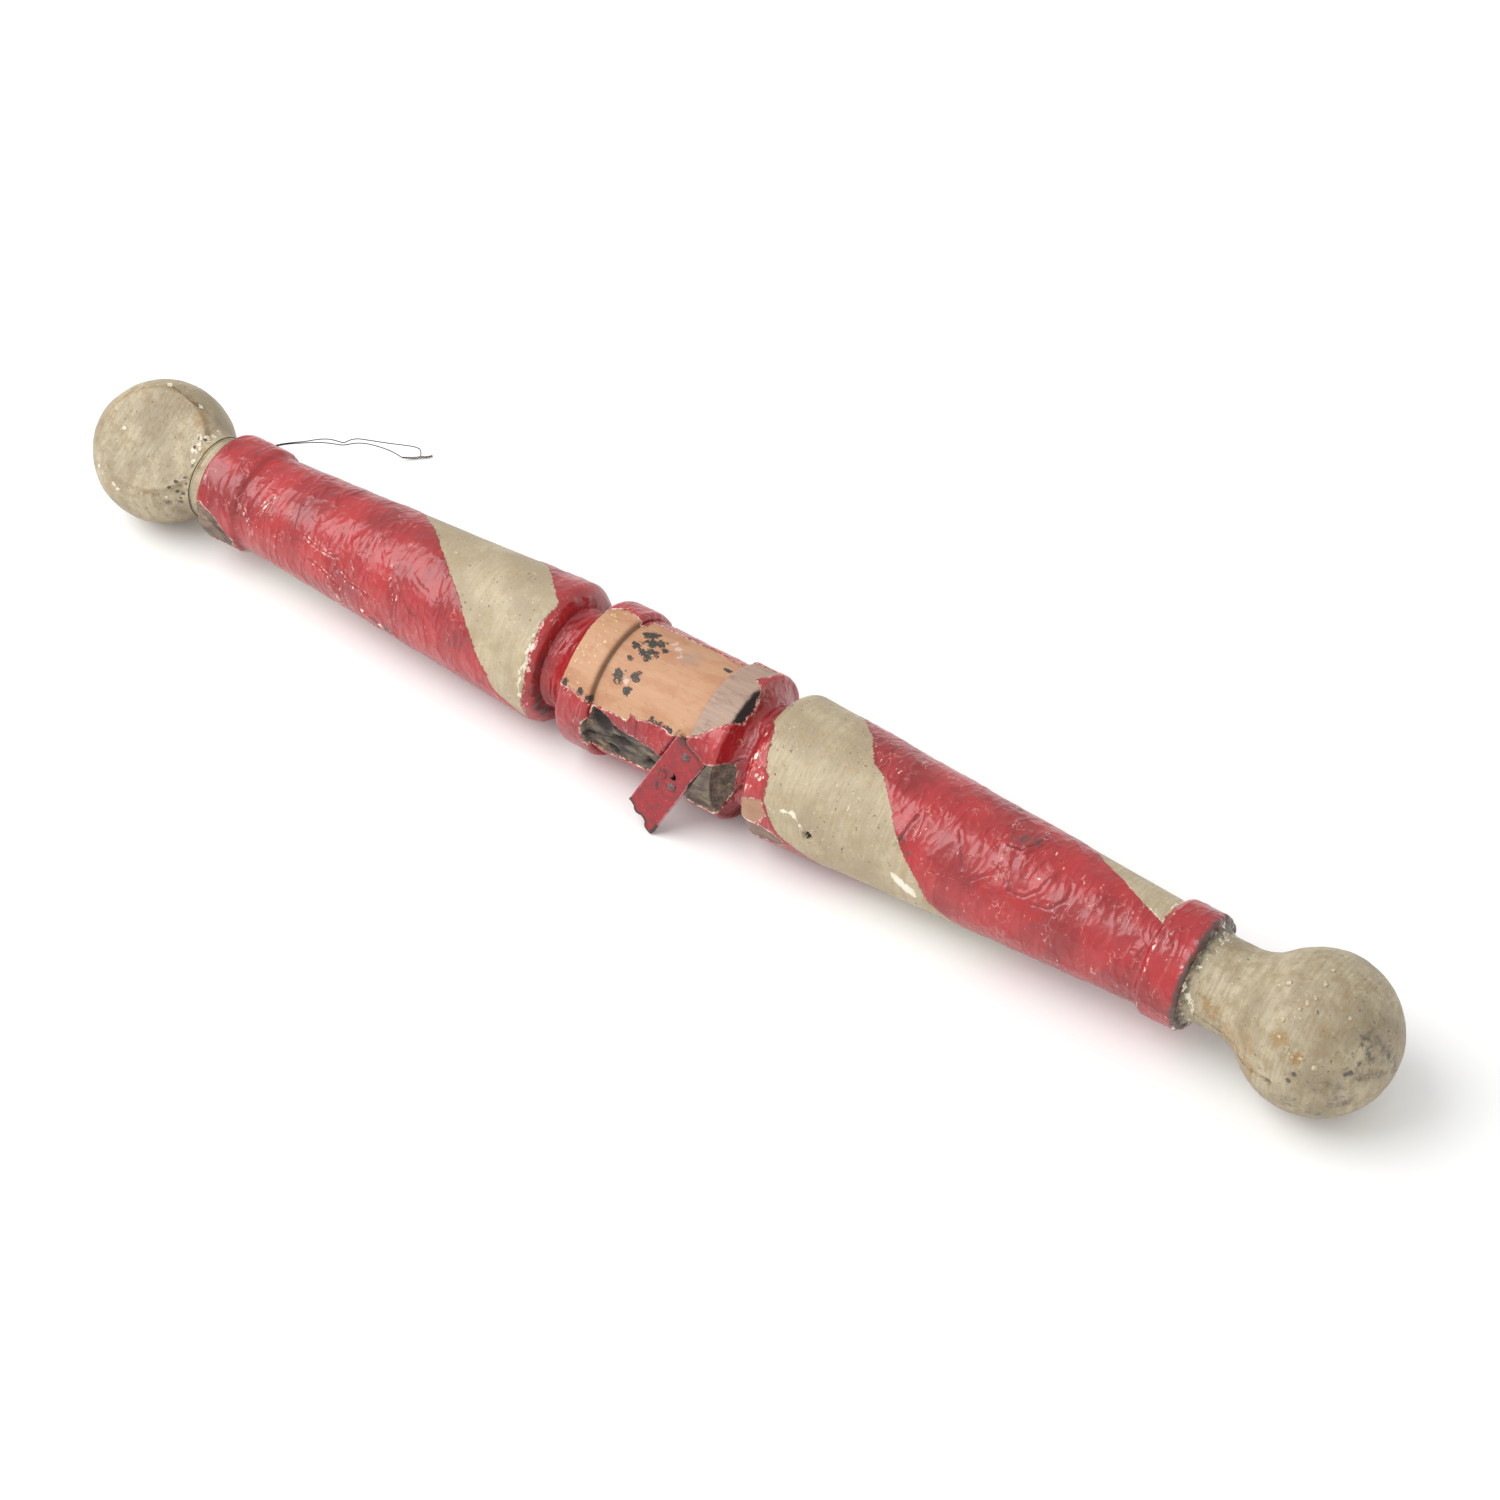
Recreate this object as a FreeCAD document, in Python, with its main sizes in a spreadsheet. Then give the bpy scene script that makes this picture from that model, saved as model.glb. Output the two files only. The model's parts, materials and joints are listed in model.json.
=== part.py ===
import FreeCAD, Part
import math
import os

import Sketcher

# Turned and painted wooden barber pole with a ball at each end, lying on a level surface.
# Frame: +X along the pole, +Z up, origin at the middle of its footprint, on the surface it lies on.
# It stands on both balls and on the tip of its broken wall strap. Sizes are in millimetres, angles in degrees.

# Every driving dimension: its value and what it is. The pole runs from its left ball (-X) to its right ball.
DIMENSIONS = {
    "ball_radius": (49.5, "both end balls"),
    "ball_neck_radius": (28.3, "waist between a ball and its collar"),
    "left_neck_length": (18.3, "collar's outer face to where the left neck would meet its sphere"),
    "right_neck_length": (32.8, "collar's outer face to where the right neck would meet its sphere"),
    "left_neck_round": (9, "hollow where the left neck meets its ball"),
    "right_neck_round": (26, "hollow where the right neck meets its ball"),
    "ball_tenon_radius": (13, "round tenon that seats a ball in its shaft"),
    "ball_tenon_length": (45, "length of that tenon"),
    "facet_distance": (35, "flat on the left ball, from the ball's centre"),
    "facet_margin": (0.5, "how far the flat's cut runs past the ball"),
    "facet_turn": (-60, "heading of the flat's normal about Z, from +X"),
    "facet_rise": (54.5, "rise of the flat's normal above level"),
    "left_shaft_length": (286, "left shaft, thick end to collar face"),
    "right_shaft_length": (297, "right shaft, thick end to collar face"),
    "shaft_thick_radius": (47.6, "shaft at its thick end"),
    "shaft_thin_radius": (32.4, "shaft beside its collar"),
    "shaft_rim_round": (9, "rounding of the thick end"),
    "collar_radius": (36.2, "collar at the thin end of a shaft"),
    "left_collar_width": (32, "left collar"),
    "right_collar_width": (26, "right collar"),
    "collar_round": (3, "rounding of a collar's edges"),
    "barrel_radius": (43.5, "drum between its rings"),
    "barrel_length": (74, "drum between its rings"),
    "ring_radius": (47.5, "raised rings of the drum"),
    "ring_width": (21.5, "raised rings of the drum"),
    "ring_round": (1.6, "rounding of the rings' edges"),
    "left_cove_width": (23, "hollow between the left ring and the left shaft"),
    "right_cove_width": (19, "hollow between the right ring and the right shaft"),
    "cove_top_radius": (44, "where a cove starts on its ring's side"),
    "cove_foot_radius": (34, "where a cove ends at the shaft"),
    "cove_hollow": (6.5, "how deep a cove's curve is, below its chord"),
    "drum_tenon_radius": (16, "round tenons that seat the drum in the shafts"),
    "drum_tenon_length": (70, "length of each of them"),
    "tenon_gap": (0.1, "glue line round a tenon"),
    "tenon_end_gap": (1, "room at a socket's bottom"),
    "nail_radius": (1.5, "shank of every nail"),
    "nail_head_radius": (3.4, "head of every nail"),
    "nail_head_height": (1.2, "head of every nail"),
    "nail_gap": (0.05, "room round a nail"),
    "locking_nail_length": (36, "locking nails, under the head"),
    "locking_nail_depth": (1, "how far a locking nail's head is sunk"),
    "drum_nail_inset": (50, "locking nail from a shaft's thick end"),
    "ball_nail_inset": (16, "locking nail from a collar's outer face"),
    "strap_width": (25.4, "flat iron bar"),
    "strap_thickness": (2.5, "flat iron bar"),
    "strap_length": (74.5, "strap, broken tip to its upper end"),
    "strap_seat": (41.7, "turning axis to the strap's inner face"),
    "strap_lean": (15.7, "strap's foot stands out from the pole"),
    "strap_slant": (24, "strap's upper end leans along the pole"),
    "strap_tip_offset": (20.3, "strap's tip, along the pole from mid drum"),
    "strap_tip_inset": (1.2, "strap's tip, inside its right-hand edge"),
    "strap_gap": (0.2, "room round the strap in its housing"),
    "housing_height": (14, "wood cleared away over the strap"),
    "screw_hole_radius": (2.6, "empty screw hole through the strap"),
    "screw_bore_radius": (1.8, "the lost screw's hole in the drum"),
    "screw_bore_depth": (20, "the lost screw's hole in the drum"),
    "screw_hole_across": (-10.5, "from the strap's tip"),
    "screw_hole_up": (47.5, "from the strap's tip"),
    "strap_nail_length": (30, "strap nails, under the head"),
    "front_nail_across": (-7.3, "strap nail below the screw hole, from the tip"),
    "front_nail_up": (40.8, "the same nail"),
    "upper_nail_across": (-11.5, "strap nail at the upper end, from the tip"),
    "upper_nail_up": (66, "the same nail"),
    "wire_radius": (0.36, "iron wire of the hanging loop"),
    "wire_gap": (0.05, "room between the neck and its wire"),
    "neck_wire_inset": (12, "wire round the neck, from the collar's face"),
    "twist_radius": (0.75, "twisted end of the loop"),
}

# From a ball's centre to its collar's outer face.
BALL_TO_NECK = "sqrt(dims.ball_radius^2 - dims.ball_neck_radius^2)"
NECK_REACH = {side: f"(dims.{side}_neck_length + {BALL_TO_NECK})" for side in ("left", "right")}

# The pole's runs in order, from the end of the left ball to the end of the right one.
RUNS = (
    "dims.ball_radius",
    NECK_REACH["left"],
    "dims.left_shaft_length",
    "dims.left_cove_width",
    "dims.ring_width",
    "dims.barrel_length",
    "dims.ring_width",
    "dims.right_cove_width",
    "dims.right_shaft_length",
    NECK_REACH["right"],
    "dims.ball_radius",
)
LEFT_BALL, LEFT_COLLAR, LEFT_RIM, BARREL, RIGHT_RIM, RIGHT_COLLAR = 1, 2, 3, 5, 8, 9

# Routes of the hanging loop's wires, from the neck to the twisted end that lies on the surface. X is from the neck
# wire, Y from the back of the neck, and Z from the surface, for a pole whose axis lies at ROUTE_AXIS_HEIGHT.
ROUTE_AXIS_HEIGHT = 49.5
UPPER_WIRE_ROUTE = (
    (-0.3, 0.6, 48.6),
    (2.4, 11.3, 47.9),
    (7.4, 22.6, 47.1),
    (13.9, 29.3, 47.4),
    (20.9, 35.6, 47.4),
    (25.7, 42.7, 46.9),
    (30.5, 48.7, 45.4),
    (35.3, 52.2, 43.2),
    (37.5, 55.2, 40.6),
    (36.5, 61.2, 38.5),
    (37.3, 68.2, 35.8),
    (41.6, 75.8, 31.0),
    (47.9, 85.2, 25.3),
    (51.9, 95.8, 18.3),
    (55.1, 105.8, 11.4),
    (57.3, 110.4, 6.4),
    (57.1, 108.7, 1.2),
)
LOWER_WIRE_ROUTE = (
    (0.4, 0.6, 47.4),
    (2.7, 11.5, 46.7),
    (7.2, 23.1, 45.9),
    (13.3, 29.7, 45.9),
    (20.4, 36.1, 45.7),
    (26.7, 43.2, 44.4),
    (32.7, 49.2, 42.0),
    (36.7, 54.6, 38.6),
    (38.1, 62.0, 35.8),
    (40.0, 69.1, 32.6),
    (43.2, 76.6, 27.3),
    (45.7, 85.4, 19.2),
    (46.9, 93.8, 10.2),
    (48.4, 99.1, 2.9),
)
TWIST_ROUTE = (
    (48.4, 99.1, 2.9),
    (50.7, 102.8, 1.2),
    (54.3, 105.4, 0.9),
    (57.3, 109.0, 0.9),
    (60.9, 111.0, 0.9),
    (62.9, 114.5, 0.9),
)
ARC_SHARE = 0.45
SMALLEST = 1e-6

document = FreeCAD.newDocument("barber_pole")
sheet = document.addObject("Spreadsheet::Sheet", "dims")
for row, (alias, (value, note)) in enumerate(DIMENSIONS.items(), start=1):
    sheet.set(f"A{row}", note)
    sheet.set(f"B{row}", str(value))
    sheet.setAlias(f"B{row}", alias)
document.recompute()


def number(expression):
    """The value of an expression of the sheet's cells."""
    return float(sheet.evalExpression(str(expression)))


def station(count):
    """Expression for X at the end of the pole's first runs; the pole's middle is at X = 0."""
    before = " + ".join(RUNS[:count])
    whole = " + ".join(RUNS)
    return f"({before} - ({whole}) / 2)"


AXIS_Z = "dims.ball_radius"
STRAP_REACH = "((dims.strap_seat + dims.ball_radius * sin(dims.strap_lean)) / cos(dims.strap_lean))"
AXIS_Y = f"(({STRAP_REACH} + dims.strap_thickness * cos(dims.strap_lean) - dims.ball_radius) / 2)"
MID_DRUM = f"({station(BARREL)} + dims.barrel_length / 2)"
NECK_WIRE_X = f"({station(LEFT_COLLAR)} - dims.neck_wire_inset)"
STRAP_TIP = (f"{MID_DRUM} + dims.strap_tip_offset", f"{AXIS_Y} - {STRAP_REACH}", "0")
ALONG_Y = FreeCAD.Rotation(FreeCAD.Vector(1, 0, 0), -90)
AGAINST_Y = FreeCAD.Rotation(FreeCAD.Vector(1, 0, 0), 90)
TURNED_ROUND = FreeCAD.Rotation(FreeCAD.Vector(0, 0, 1), 180)


def place(thing, x, y, z, rotation=FreeCAD.Rotation()):
    """Turn an object, then tie its position to the sheet."""
    thing.Placement = FreeCAD.Placement(FreeCAD.Vector(), rotation)
    for letter, expression in zip("xyz", (x, y, z)):
        thing.setExpression(f"Placement.Base.{letter}", expression)


def body_plane(body, role):
    """One of a body's own origin planes."""
    return next(feature for feature in body.Origin.OriginFeatures if feature.Role == role)


def new_sketch(body, name, role):
    """A sketch on one of the body's own planes."""
    sketch = body.newObject("Sketcher::SketchObject", name)
    sketch.AttachmentSupport = [(body_plane(body, role), "")]
    sketch.MapMode = "FlatFace"
    return sketch


def hold(sketch, kind, edge, point, expression):
    """Tie a point's distance from the sketch's origin to the sheet."""
    if expression == "0":
        across = -1 if kind == "DistanceY" else -2
        sketch.addConstraint(Sketcher.Constraint("PointOnObject", edge, point, across))
        return
    constraint = Sketcher.Constraint(kind, -1, 1, edge, point, number(expression))
    sketch.setExpression(f"Constraints[{sketch.addConstraint(constraint)}]", expression)


def arc_between(start, end, radius, side):
    """The shorter arc from start to end with its centre on the left (side 1) or on the right (side -1)."""
    chord = end - start
    lift = math.sqrt(radius**2 - (chord.Length / 2) ** 2)
    left = FreeCAD.Vector(-chord.y, chord.x, 0).normalize()
    centre = (start + end) / 2 + left * lift * side
    angles = [math.atan2(point.y - centre.y, point.x - centre.x) for point in (start, end)]
    first, last = angles if side > 0 else reversed(angles)
    return Part.ArcOfCircle(Part.Circle(centre, FreeCAD.Vector(0, 0, 1), radius), first, last)


def outline(body, name, role, corners, arcs=None):
    """A closed outline through corners given as expressions. arcs maps a corner's index to the radius
    and side of the arc that leaves it; every other edge is straight."""
    arcs = arcs or {}
    sketch = new_sketch(body, name, role)
    points = [FreeCAD.Vector(number(x), number(y), 0) for x, y in corners]
    ends = []
    for index, start in enumerate(points):
        end = points[(index + 1) % len(points)]
        if index not in arcs:
            edge = sketch.addGeometry(Part.LineSegment(start, end))
            ends.append((edge, 1, 2))
            continue
        radius, side = arcs[index]
        edge = sketch.addGeometry(arc_between(start, end, number(radius), side))
        ends.append((edge, 1, 2) if side > 0 else (edge, 2, 1))
        constraint = sketch.addConstraint(Sketcher.Constraint("Radius", edge, number(radius)))
        sketch.setExpression(f"Constraints[{constraint}]", radius)
    for index, (edge, first, _) in enumerate(ends):
        previous, _, last = ends[index - 1]
        sketch.addConstraint(Sketcher.Constraint("Coincident", previous, last, edge, first))
        hold(sketch, "DistanceX", edge, first, corners[index][0])
        hold(sketch, "DistanceY", edge, first, corners[index][1])
    return sketch


def new_body(label):
    """An empty body with its label."""
    body = document.addObject("PartDesign::Body", label)
    body.Label = label
    return body


def turned(body, corners, arcs=None):
    """Turn an outline of (station, radius) corners round the pole's axis."""
    sketch = outline(body, "profile", "XZ_Plane", corners, arcs)
    turning = body.newObject("PartDesign::Revolution", "turning")
    turning.Profile = sketch
    turning.ReferenceAxis = (sketch, ["H_Axis"])
    turning.Angle = 360
    document.recompute()
    return turning


def round_edges(body, name, rings, radius):
    """Round the circular edges at the given (station, radius) places."""
    base = body.Tip
    wanted = [(number(x), number(r)) for x, r in rings]
    names = []
    for index, edge in enumerate(base.Shape.Edges, start=1):
        if edge.Degenerated or not isinstance(edge.Curve, Part.Circle):
            continue
        circle = edge.Curve
        for x, r in wanted:
            if abs(circle.Center.x - x) < SMALLEST and abs(circle.Radius - r) < SMALLEST:
                names.append(f"Edge{index}")
    if len(names) != len(wanted):
        raise ValueError(f"{body.Label}: {len(names)} of {len(wanted)} edges found for {name}")
    fillet = body.newObject("PartDesign::Fillet", name)
    fillet.Base = (base, names)
    fillet.setExpression("Radius", radius)
    document.recompute()


def radial_hole(body, name, x, bottom, radius):
    """A round hole square to the axis, from a distance off the axis out through the -Y side."""
    before = body.Tip.Shape.Volume
    sketch = new_sketch(body, f"{name}_circle", "XZ_Plane")
    sketch.setExpression("AttachmentOffset.Base.z", bottom)
    circle = Part.Circle(FreeCAD.Vector(number(x), 0, 0), FreeCAD.Vector(0, 0, 1), number(radius))
    edge = sketch.addGeometry(circle)
    hold(sketch, "DistanceX", edge, 3, x)
    hold(sketch, "DistanceY", edge, 3, "0")
    constraint = sketch.addConstraint(Sketcher.Constraint("Radius", edge, number(radius)))
    sketch.setExpression(f"Constraints[{constraint}]", radius)
    pocket = body.newObject("PartDesign::Pocket", name)
    pocket.Profile = sketch
    pocket.Type = "ThroughAll"
    pocket.Reversed = True
    document.recompute()
    if before - body.Tip.Shape.Volume < SMALLEST:
        raise ValueError(f"{body.Label}: {name} cuts nothing")


# Locking nails: how far their heads' tops are from the axis, in a shaft and in a collar.
TAPER_LENGTH = {side: f"(dims.{side}_shaft_length - dims.{side}_collar_width)" for side in ("left", "right")}
NAIL_IN_COLLAR = "(dims.collar_radius - dims.locking_nail_depth)"
HOLE_RADIUS = "dims.nail_radius + dims.nail_gap"
HEAD_HOLE_RADIUS = "dims.nail_head_radius + dims.nail_gap"


def nail_in_shaft(side):
    """Expression for the distance off the axis of a nail head's top in a shaft's thick end."""
    narrowing = f"(dims.shaft_thick_radius - dims.shaft_thin_radius) / {TAPER_LENGTH[side]}"
    return f"(dims.shaft_thick_radius - {narrowing} * dims.drum_nail_inset - dims.locking_nail_depth)"


def nail_point(top):
    """Expression for the distance off the axis of a nail hole's bottom, from its head's top."""
    return f"({top} - dims.nail_head_height - dims.locking_nail_length - dims.nail_gap)"


def head_seat(top):
    """Expression for the distance off the axis of the underside of a nail's head."""
    return f"({top} - dims.nail_head_height)"


def make_ball(side, label):
    """An end ball with its neck and the tenon that seats it in the shaft; local X runs outwards."""
    body = new_body(label)
    face = "dims.ball_tenon_length"
    centre = f"dims.ball_tenon_length + {NECK_REACH[side]}"
    join = f"dims.ball_tenon_length + dims.{side}_neck_length"
    corners = (
        ("0", "0"),
        ("0", "dims.ball_tenon_radius"),
        (face, "dims.ball_tenon_radius"),
        (face, "dims.ball_neck_radius"),
        (join, "dims.ball_neck_radius"),
        (f"{centre} + dims.ball_radius", "0"),
    )
    turned(body, corners, {4: ("dims.ball_radius", -1)})
    round_edges(body, "neck_round", [(join, "dims.ball_neck_radius")], f"dims.{side}_neck_round")
    nail_x = "dims.ball_tenon_length - dims.ball_nail_inset"
    radial_hole(body, "nail_hole", nail_x, nail_point(NAIL_IN_COLLAR), HOLE_RADIUS)
    if side == "left":
        place(body, f"{station(LEFT_COLLAR)} + dims.ball_tenon_length", AXIS_Y, AXIS_Z, TURNED_ROUND)
    else:
        place(body, f"{station(RIGHT_COLLAR)} - dims.ball_tenon_length", AXIS_Y, AXIS_Z)
    return body


def make_faceted_ball():
    """The left ball, with the flat that was worn or sawn on it."""
    body = make_ball("left", "left_turning")
    tool = document.addObject("Part::Cylinder", "facet_tool")
    facet_radius = "sqrt(dims.ball_radius^2 - dims.facet_distance^2) + dims.facet_margin"
    tool.setExpression("Radius", facet_radius)
    tool.setExpression("Height", "dims.ball_radius")
    level = "dims.facet_distance * cos(dims.facet_rise)"
    place(
        tool,
        f"{station(LEFT_BALL)} + {level} * cos(dims.facet_turn)",
        f"{AXIS_Y} + {level} * sin(dims.facet_turn)",
        f"{AXIS_Z} + dims.facet_distance * sin(dims.facet_rise)",
        FreeCAD.Rotation(number("dims.facet_turn"), 90 - number("dims.facet_rise"), 0),
    )
    cut_away("left_ball", body, tool)


def cut_away(label, base, tool):
    """A named piece: base with tool cut away."""
    cut = document.addObject("Part::Cut", label)
    cut.Label = label
    cut.Base = base
    cut.Tool = tool
    document.recompute()
    if base.Shape.Volume - cut.Shape.Volume < SMALLEST:
        raise ValueError(f"{label}: the cut removes nothing")


def make_shaft(side):
    """A tapered shaft with its collar and a socket in each end; local X runs from the drum outwards."""
    body = new_body(f"{side}_shaft")
    length = f"dims.{side}_shaft_length"
    drum_socket = "dims.drum_tenon_length + dims.tenon_end_gap"
    ball_socket = f"{length} - dims.ball_tenon_length - dims.tenon_end_gap"
    corners = (
        (drum_socket, "0"),
        (drum_socket, "dims.drum_tenon_radius + dims.tenon_gap"),
        ("0", "dims.drum_tenon_radius + dims.tenon_gap"),
        ("0", "dims.shaft_thick_radius"),
        (TAPER_LENGTH[side], "dims.shaft_thin_radius"),
        (TAPER_LENGTH[side], "dims.collar_radius"),
        (length, "dims.collar_radius"),
        (length, "dims.ball_tenon_radius + dims.tenon_gap"),
        (ball_socket, "dims.ball_tenon_radius + dims.tenon_gap"),
        (ball_socket, "0"),
    )
    turned(body, corners)
    round_edges(body, "rim_round", [("0", "dims.shaft_thick_radius")], "dims.shaft_rim_round")
    collar = [(TAPER_LENGTH[side], "dims.collar_radius"), (length, "dims.collar_radius")]
    round_edges(body, "collar_rounds", collar, "dims.collar_round")
    holes = (
        ("drum", "dims.drum_nail_inset", nail_in_shaft(side)),
        ("ball", f"{length} - dims.ball_nail_inset", NAIL_IN_COLLAR),
    )
    for name, x, top in holes:
        radial_hole(body, f"{name}_nail_hole", x, nail_point(top), HOLE_RADIUS)
        radial_hole(body, f"{name}_nail_seat", x, head_seat(top), HEAD_HOLE_RADIUS)
    if side == "left":
        place(body, station(LEFT_RIM), AXIS_Y, AXIS_Z, TURNED_ROUND)
    else:
        place(body, station(RIGHT_RIM), AXIS_Y, AXIS_Z)


def cove_curve(side):
    """Expression for the radius of a cove's arc, from its chord and its hollow."""
    drop = "(dims.cove_top_radius - dims.cove_foot_radius)"
    return f"((dims.{side}_cove_width^2 + {drop}^2) / (8 * dims.cove_hollow) + dims.cove_hollow / 2)"


def make_drum_turning():
    """The drum as turned: barrel, two rings, two coves and a tenon at each end; local X from the left tenon."""
    body = new_body("drum_turning")
    runs = ("dims.drum_tenon_length", *RUNS[LEFT_RIM:RIGHT_RIM], "dims.drum_tenon_length")
    ends = [" + ".join(runs[: count + 1]) for count in range(len(runs))]
    left_foot, left_ring, left_barrel, right_barrel, right_ring, right_foot, tip = ends
    corners = (
        ("0", "0"),
        ("0", "dims.drum_tenon_radius"),
        (left_foot, "dims.drum_tenon_radius"),
        (left_foot, "dims.cove_foot_radius"),
        (left_ring, "dims.cove_top_radius"),
        (left_ring, "dims.ring_radius"),
        (left_barrel, "dims.ring_radius"),
        (left_barrel, "dims.barrel_radius"),
        (right_barrel, "dims.barrel_radius"),
        (right_barrel, "dims.ring_radius"),
        (right_ring, "dims.ring_radius"),
        (right_ring, "dims.cove_top_radius"),
        (right_foot, "dims.cove_foot_radius"),
        (right_foot, "dims.drum_tenon_radius"),
        (tip, "dims.drum_tenon_radius"),
        (tip, "0"),
    )
    turned(body, corners, {3: (cove_curve("left"), 1), 11: (cove_curve("right"), 1)})
    rings = [(x, "dims.ring_radius") for x in (left_ring, left_barrel, right_barrel, right_ring)]
    round_edges(body, "ring_rounds", rings, "dims.ring_round")
    right_nail = f"{right_foot} + dims.drum_nail_inset"
    radial_hole(body, "right_nail_hole", right_nail, nail_point(nail_in_shaft("right")), HOLE_RADIUS)
    place(body, f"{station(LEFT_RIM)} - dims.drum_tenon_length", AXIS_Y, AXIS_Z)
    return body


def on_strap(across, up, out):
    """Expressions for the place of a point given in the strap's own directions, from its tip."""
    along = f"({across}) * cos(dims.strap_slant) + ({up}) * sin(dims.strap_slant)"
    rise = f"(({up}) * cos(dims.strap_slant) - ({across}) * sin(dims.strap_slant))"
    return (
        f"{STRAP_TIP[0]} + {along}",
        f"{STRAP_TIP[1]} + {rise} * sin(dims.strap_lean) - ({out}) * cos(dims.strap_lean)",
        f"{rise} * cos(dims.strap_lean) + ({out}) * sin(dims.strap_lean)",
    )


def strap_turn():
    """Rotation that stands the strap's own Z square to its face."""
    return FreeCAD.Rotation(FreeCAD.Vector(1, 0, 0), 90 - number("dims.strap_lean"))


def strap_block(label, corners, height):
    """A plate in the strap's place: corners from the strap's tip, height out from its inner face."""
    body = new_body(label)
    sketch = outline(body, "face", "XY_Plane", corners)
    sketch.setExpression("AttachmentOffset.Rotation.Angle", "-dims.strap_slant")
    pad = body.newObject("PartDesign::Pad", "plate")
    pad.Profile = sketch
    pad.setExpression("Length", height)
    place(body, *STRAP_TIP, strap_turn())
    document.recompute()
    return body


def make_strap():
    """The flat iron strap: a parallel bar with a ragged break at its foot."""
    right = "dims.strap_tip_inset"
    left = "dims.strap_tip_inset - dims.strap_width"
    corners = (
        ("0", "0"),
        (right, "6.0"),
        (right, "dims.strap_length"),
        (left, "dims.strap_length"),
        (left, "7.5"),
        ("-19.0", "6.4"),
        ("-15.5", "3.8"),
        ("-11.7", "5.2"),
        ("-7.4", "3.9"),
        ("-5.5", "0.9"),
    )
    body = strap_block("wall_strap", corners, "dims.strap_thickness")
    before = body.Tip.Shape.Volume
    sketch = new_sketch(body, "holes", "XY_Plane")
    sketch.setExpression("AttachmentOffset.Rotation.Angle", "-dims.strap_slant")
    for place_name, radius in (
        ("screw_hole", "dims.screw_hole_radius"),
        ("front_nail", HOLE_RADIUS),
        ("upper_nail", HOLE_RADIUS),
    ):
        x, y = f"dims.{place_name}_across", f"dims.{place_name}_up"
        centre = FreeCAD.Vector(number(x), number(y), 0)
        edge = sketch.addGeometry(Part.Circle(centre, FreeCAD.Vector(0, 0, 1), number(radius)))
        hold(sketch, "DistanceX", edge, 3, x)
        hold(sketch, "DistanceY", edge, 3, y)
        constraint = sketch.addConstraint(Sketcher.Constraint("Radius", edge, number(radius)))
        sketch.setExpression(f"Constraints[{constraint}]", radius)
    pocket = body.newObject("PartDesign::Pocket", "punched_holes")
    pocket.Profile = sketch
    pocket.Type = "ThroughAll"
    pocket.Midplane = True
    document.recompute()
    if before - body.Tip.Shape.Volume < SMALLEST:
        raise ValueError("wall_strap: its holes cut nothing")


def rod(name, radius, length, base, rotation):
    """A round rod from its base along its own Z."""
    cylinder = document.addObject("Part::Cylinder", name)
    cylinder.setExpression("Radius", radius)
    cylinder.setExpression("Height", length)
    place(cylinder, *base, rotation)
    return cylinder


def joined(kind, label, pieces):
    """A fusion or a compound of several pieces."""
    group = document.addObject(kind, label)
    group.Label = label
    if kind == "Part::Compound":
        group.Links = pieces
    else:
        group.Shapes = pieces
    document.recompute()
    return group


def nail(name, length, point_at, head_at, rotation):
    """A nail with a flat round head, from its point to its head."""
    shank = rod(f"{name}_shank", "dims.nail_radius", length, point_at, rotation)
    head = rod(f"{name}_head", "dims.nail_head_radius", "dims.nail_head_height", head_at, rotation)
    return joined("Part::MultiFuse", name, [shank, head])


def strap_nail_places():
    """The strap nails' names and places in the strap's own directions."""
    return [(name, f"dims.{name}_across", f"dims.{name}_up") for name in ("front_nail", "upper_nail")]


def make_drum():
    """The drum, with the strap's housing and the holes for its nails and its lost screw."""
    turning = make_drum_turning()
    right = "dims.strap_tip_inset + dims.strap_gap"
    left = "dims.strap_tip_inset - dims.strap_width - dims.strap_gap"
    top = "dims.strap_length + dims.strap_gap"
    housing = strap_block(
        "strap_housing", ((right, "0"), (right, top), (left, top), (left, "0")), "dims.housing_height"
    )
    tools = [housing]
    for name, across, up in strap_nail_places():
        depth = "(dims.strap_nail_length - dims.strap_thickness + dims.nail_gap)"
        base = on_strap(across, up, f"-{depth}")
        tools.append(rod(f"{name}_bore", HOLE_RADIUS, depth, base, strap_turn()))
    base = on_strap("dims.screw_hole_across", "dims.screw_hole_up", "-dims.screw_bore_depth")
    screw_bore = rod("screw_bore", "dims.screw_bore_radius", "dims.screw_bore_depth", base, strap_turn())
    tools.append(screw_bore)
    left_top = nail_in_shaft("left")
    left_nail_x = f"{station(LEFT_RIM)} - dims.drum_nail_inset"
    bore_at = (left_nail_x, f"{AXIS_Y} + {nail_point(left_top)}", AXIS_Z)
    tools.append(rod("left_nail_bore", HOLE_RADIUS, "dims.locking_nail_length", bore_at, ALONG_Y))
    cut_away("centre_drum", turning, joined("Part::MultiFuse", "drum_tools", tools))


def make_strap_nails():
    """Two nails that hold the strap to the drum."""
    nails = []
    for name, across, up in strap_nail_places():
        point_at = on_strap(across, up, "dims.strap_thickness - dims.strap_nail_length")
        head_at = on_strap(across, up, "dims.strap_thickness")
        nails.append(nail(f"strap_{name}", "dims.strap_nail_length", point_at, head_at, strap_turn()))
    joined("Part::Compound", "strap_nails", nails)


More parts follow.
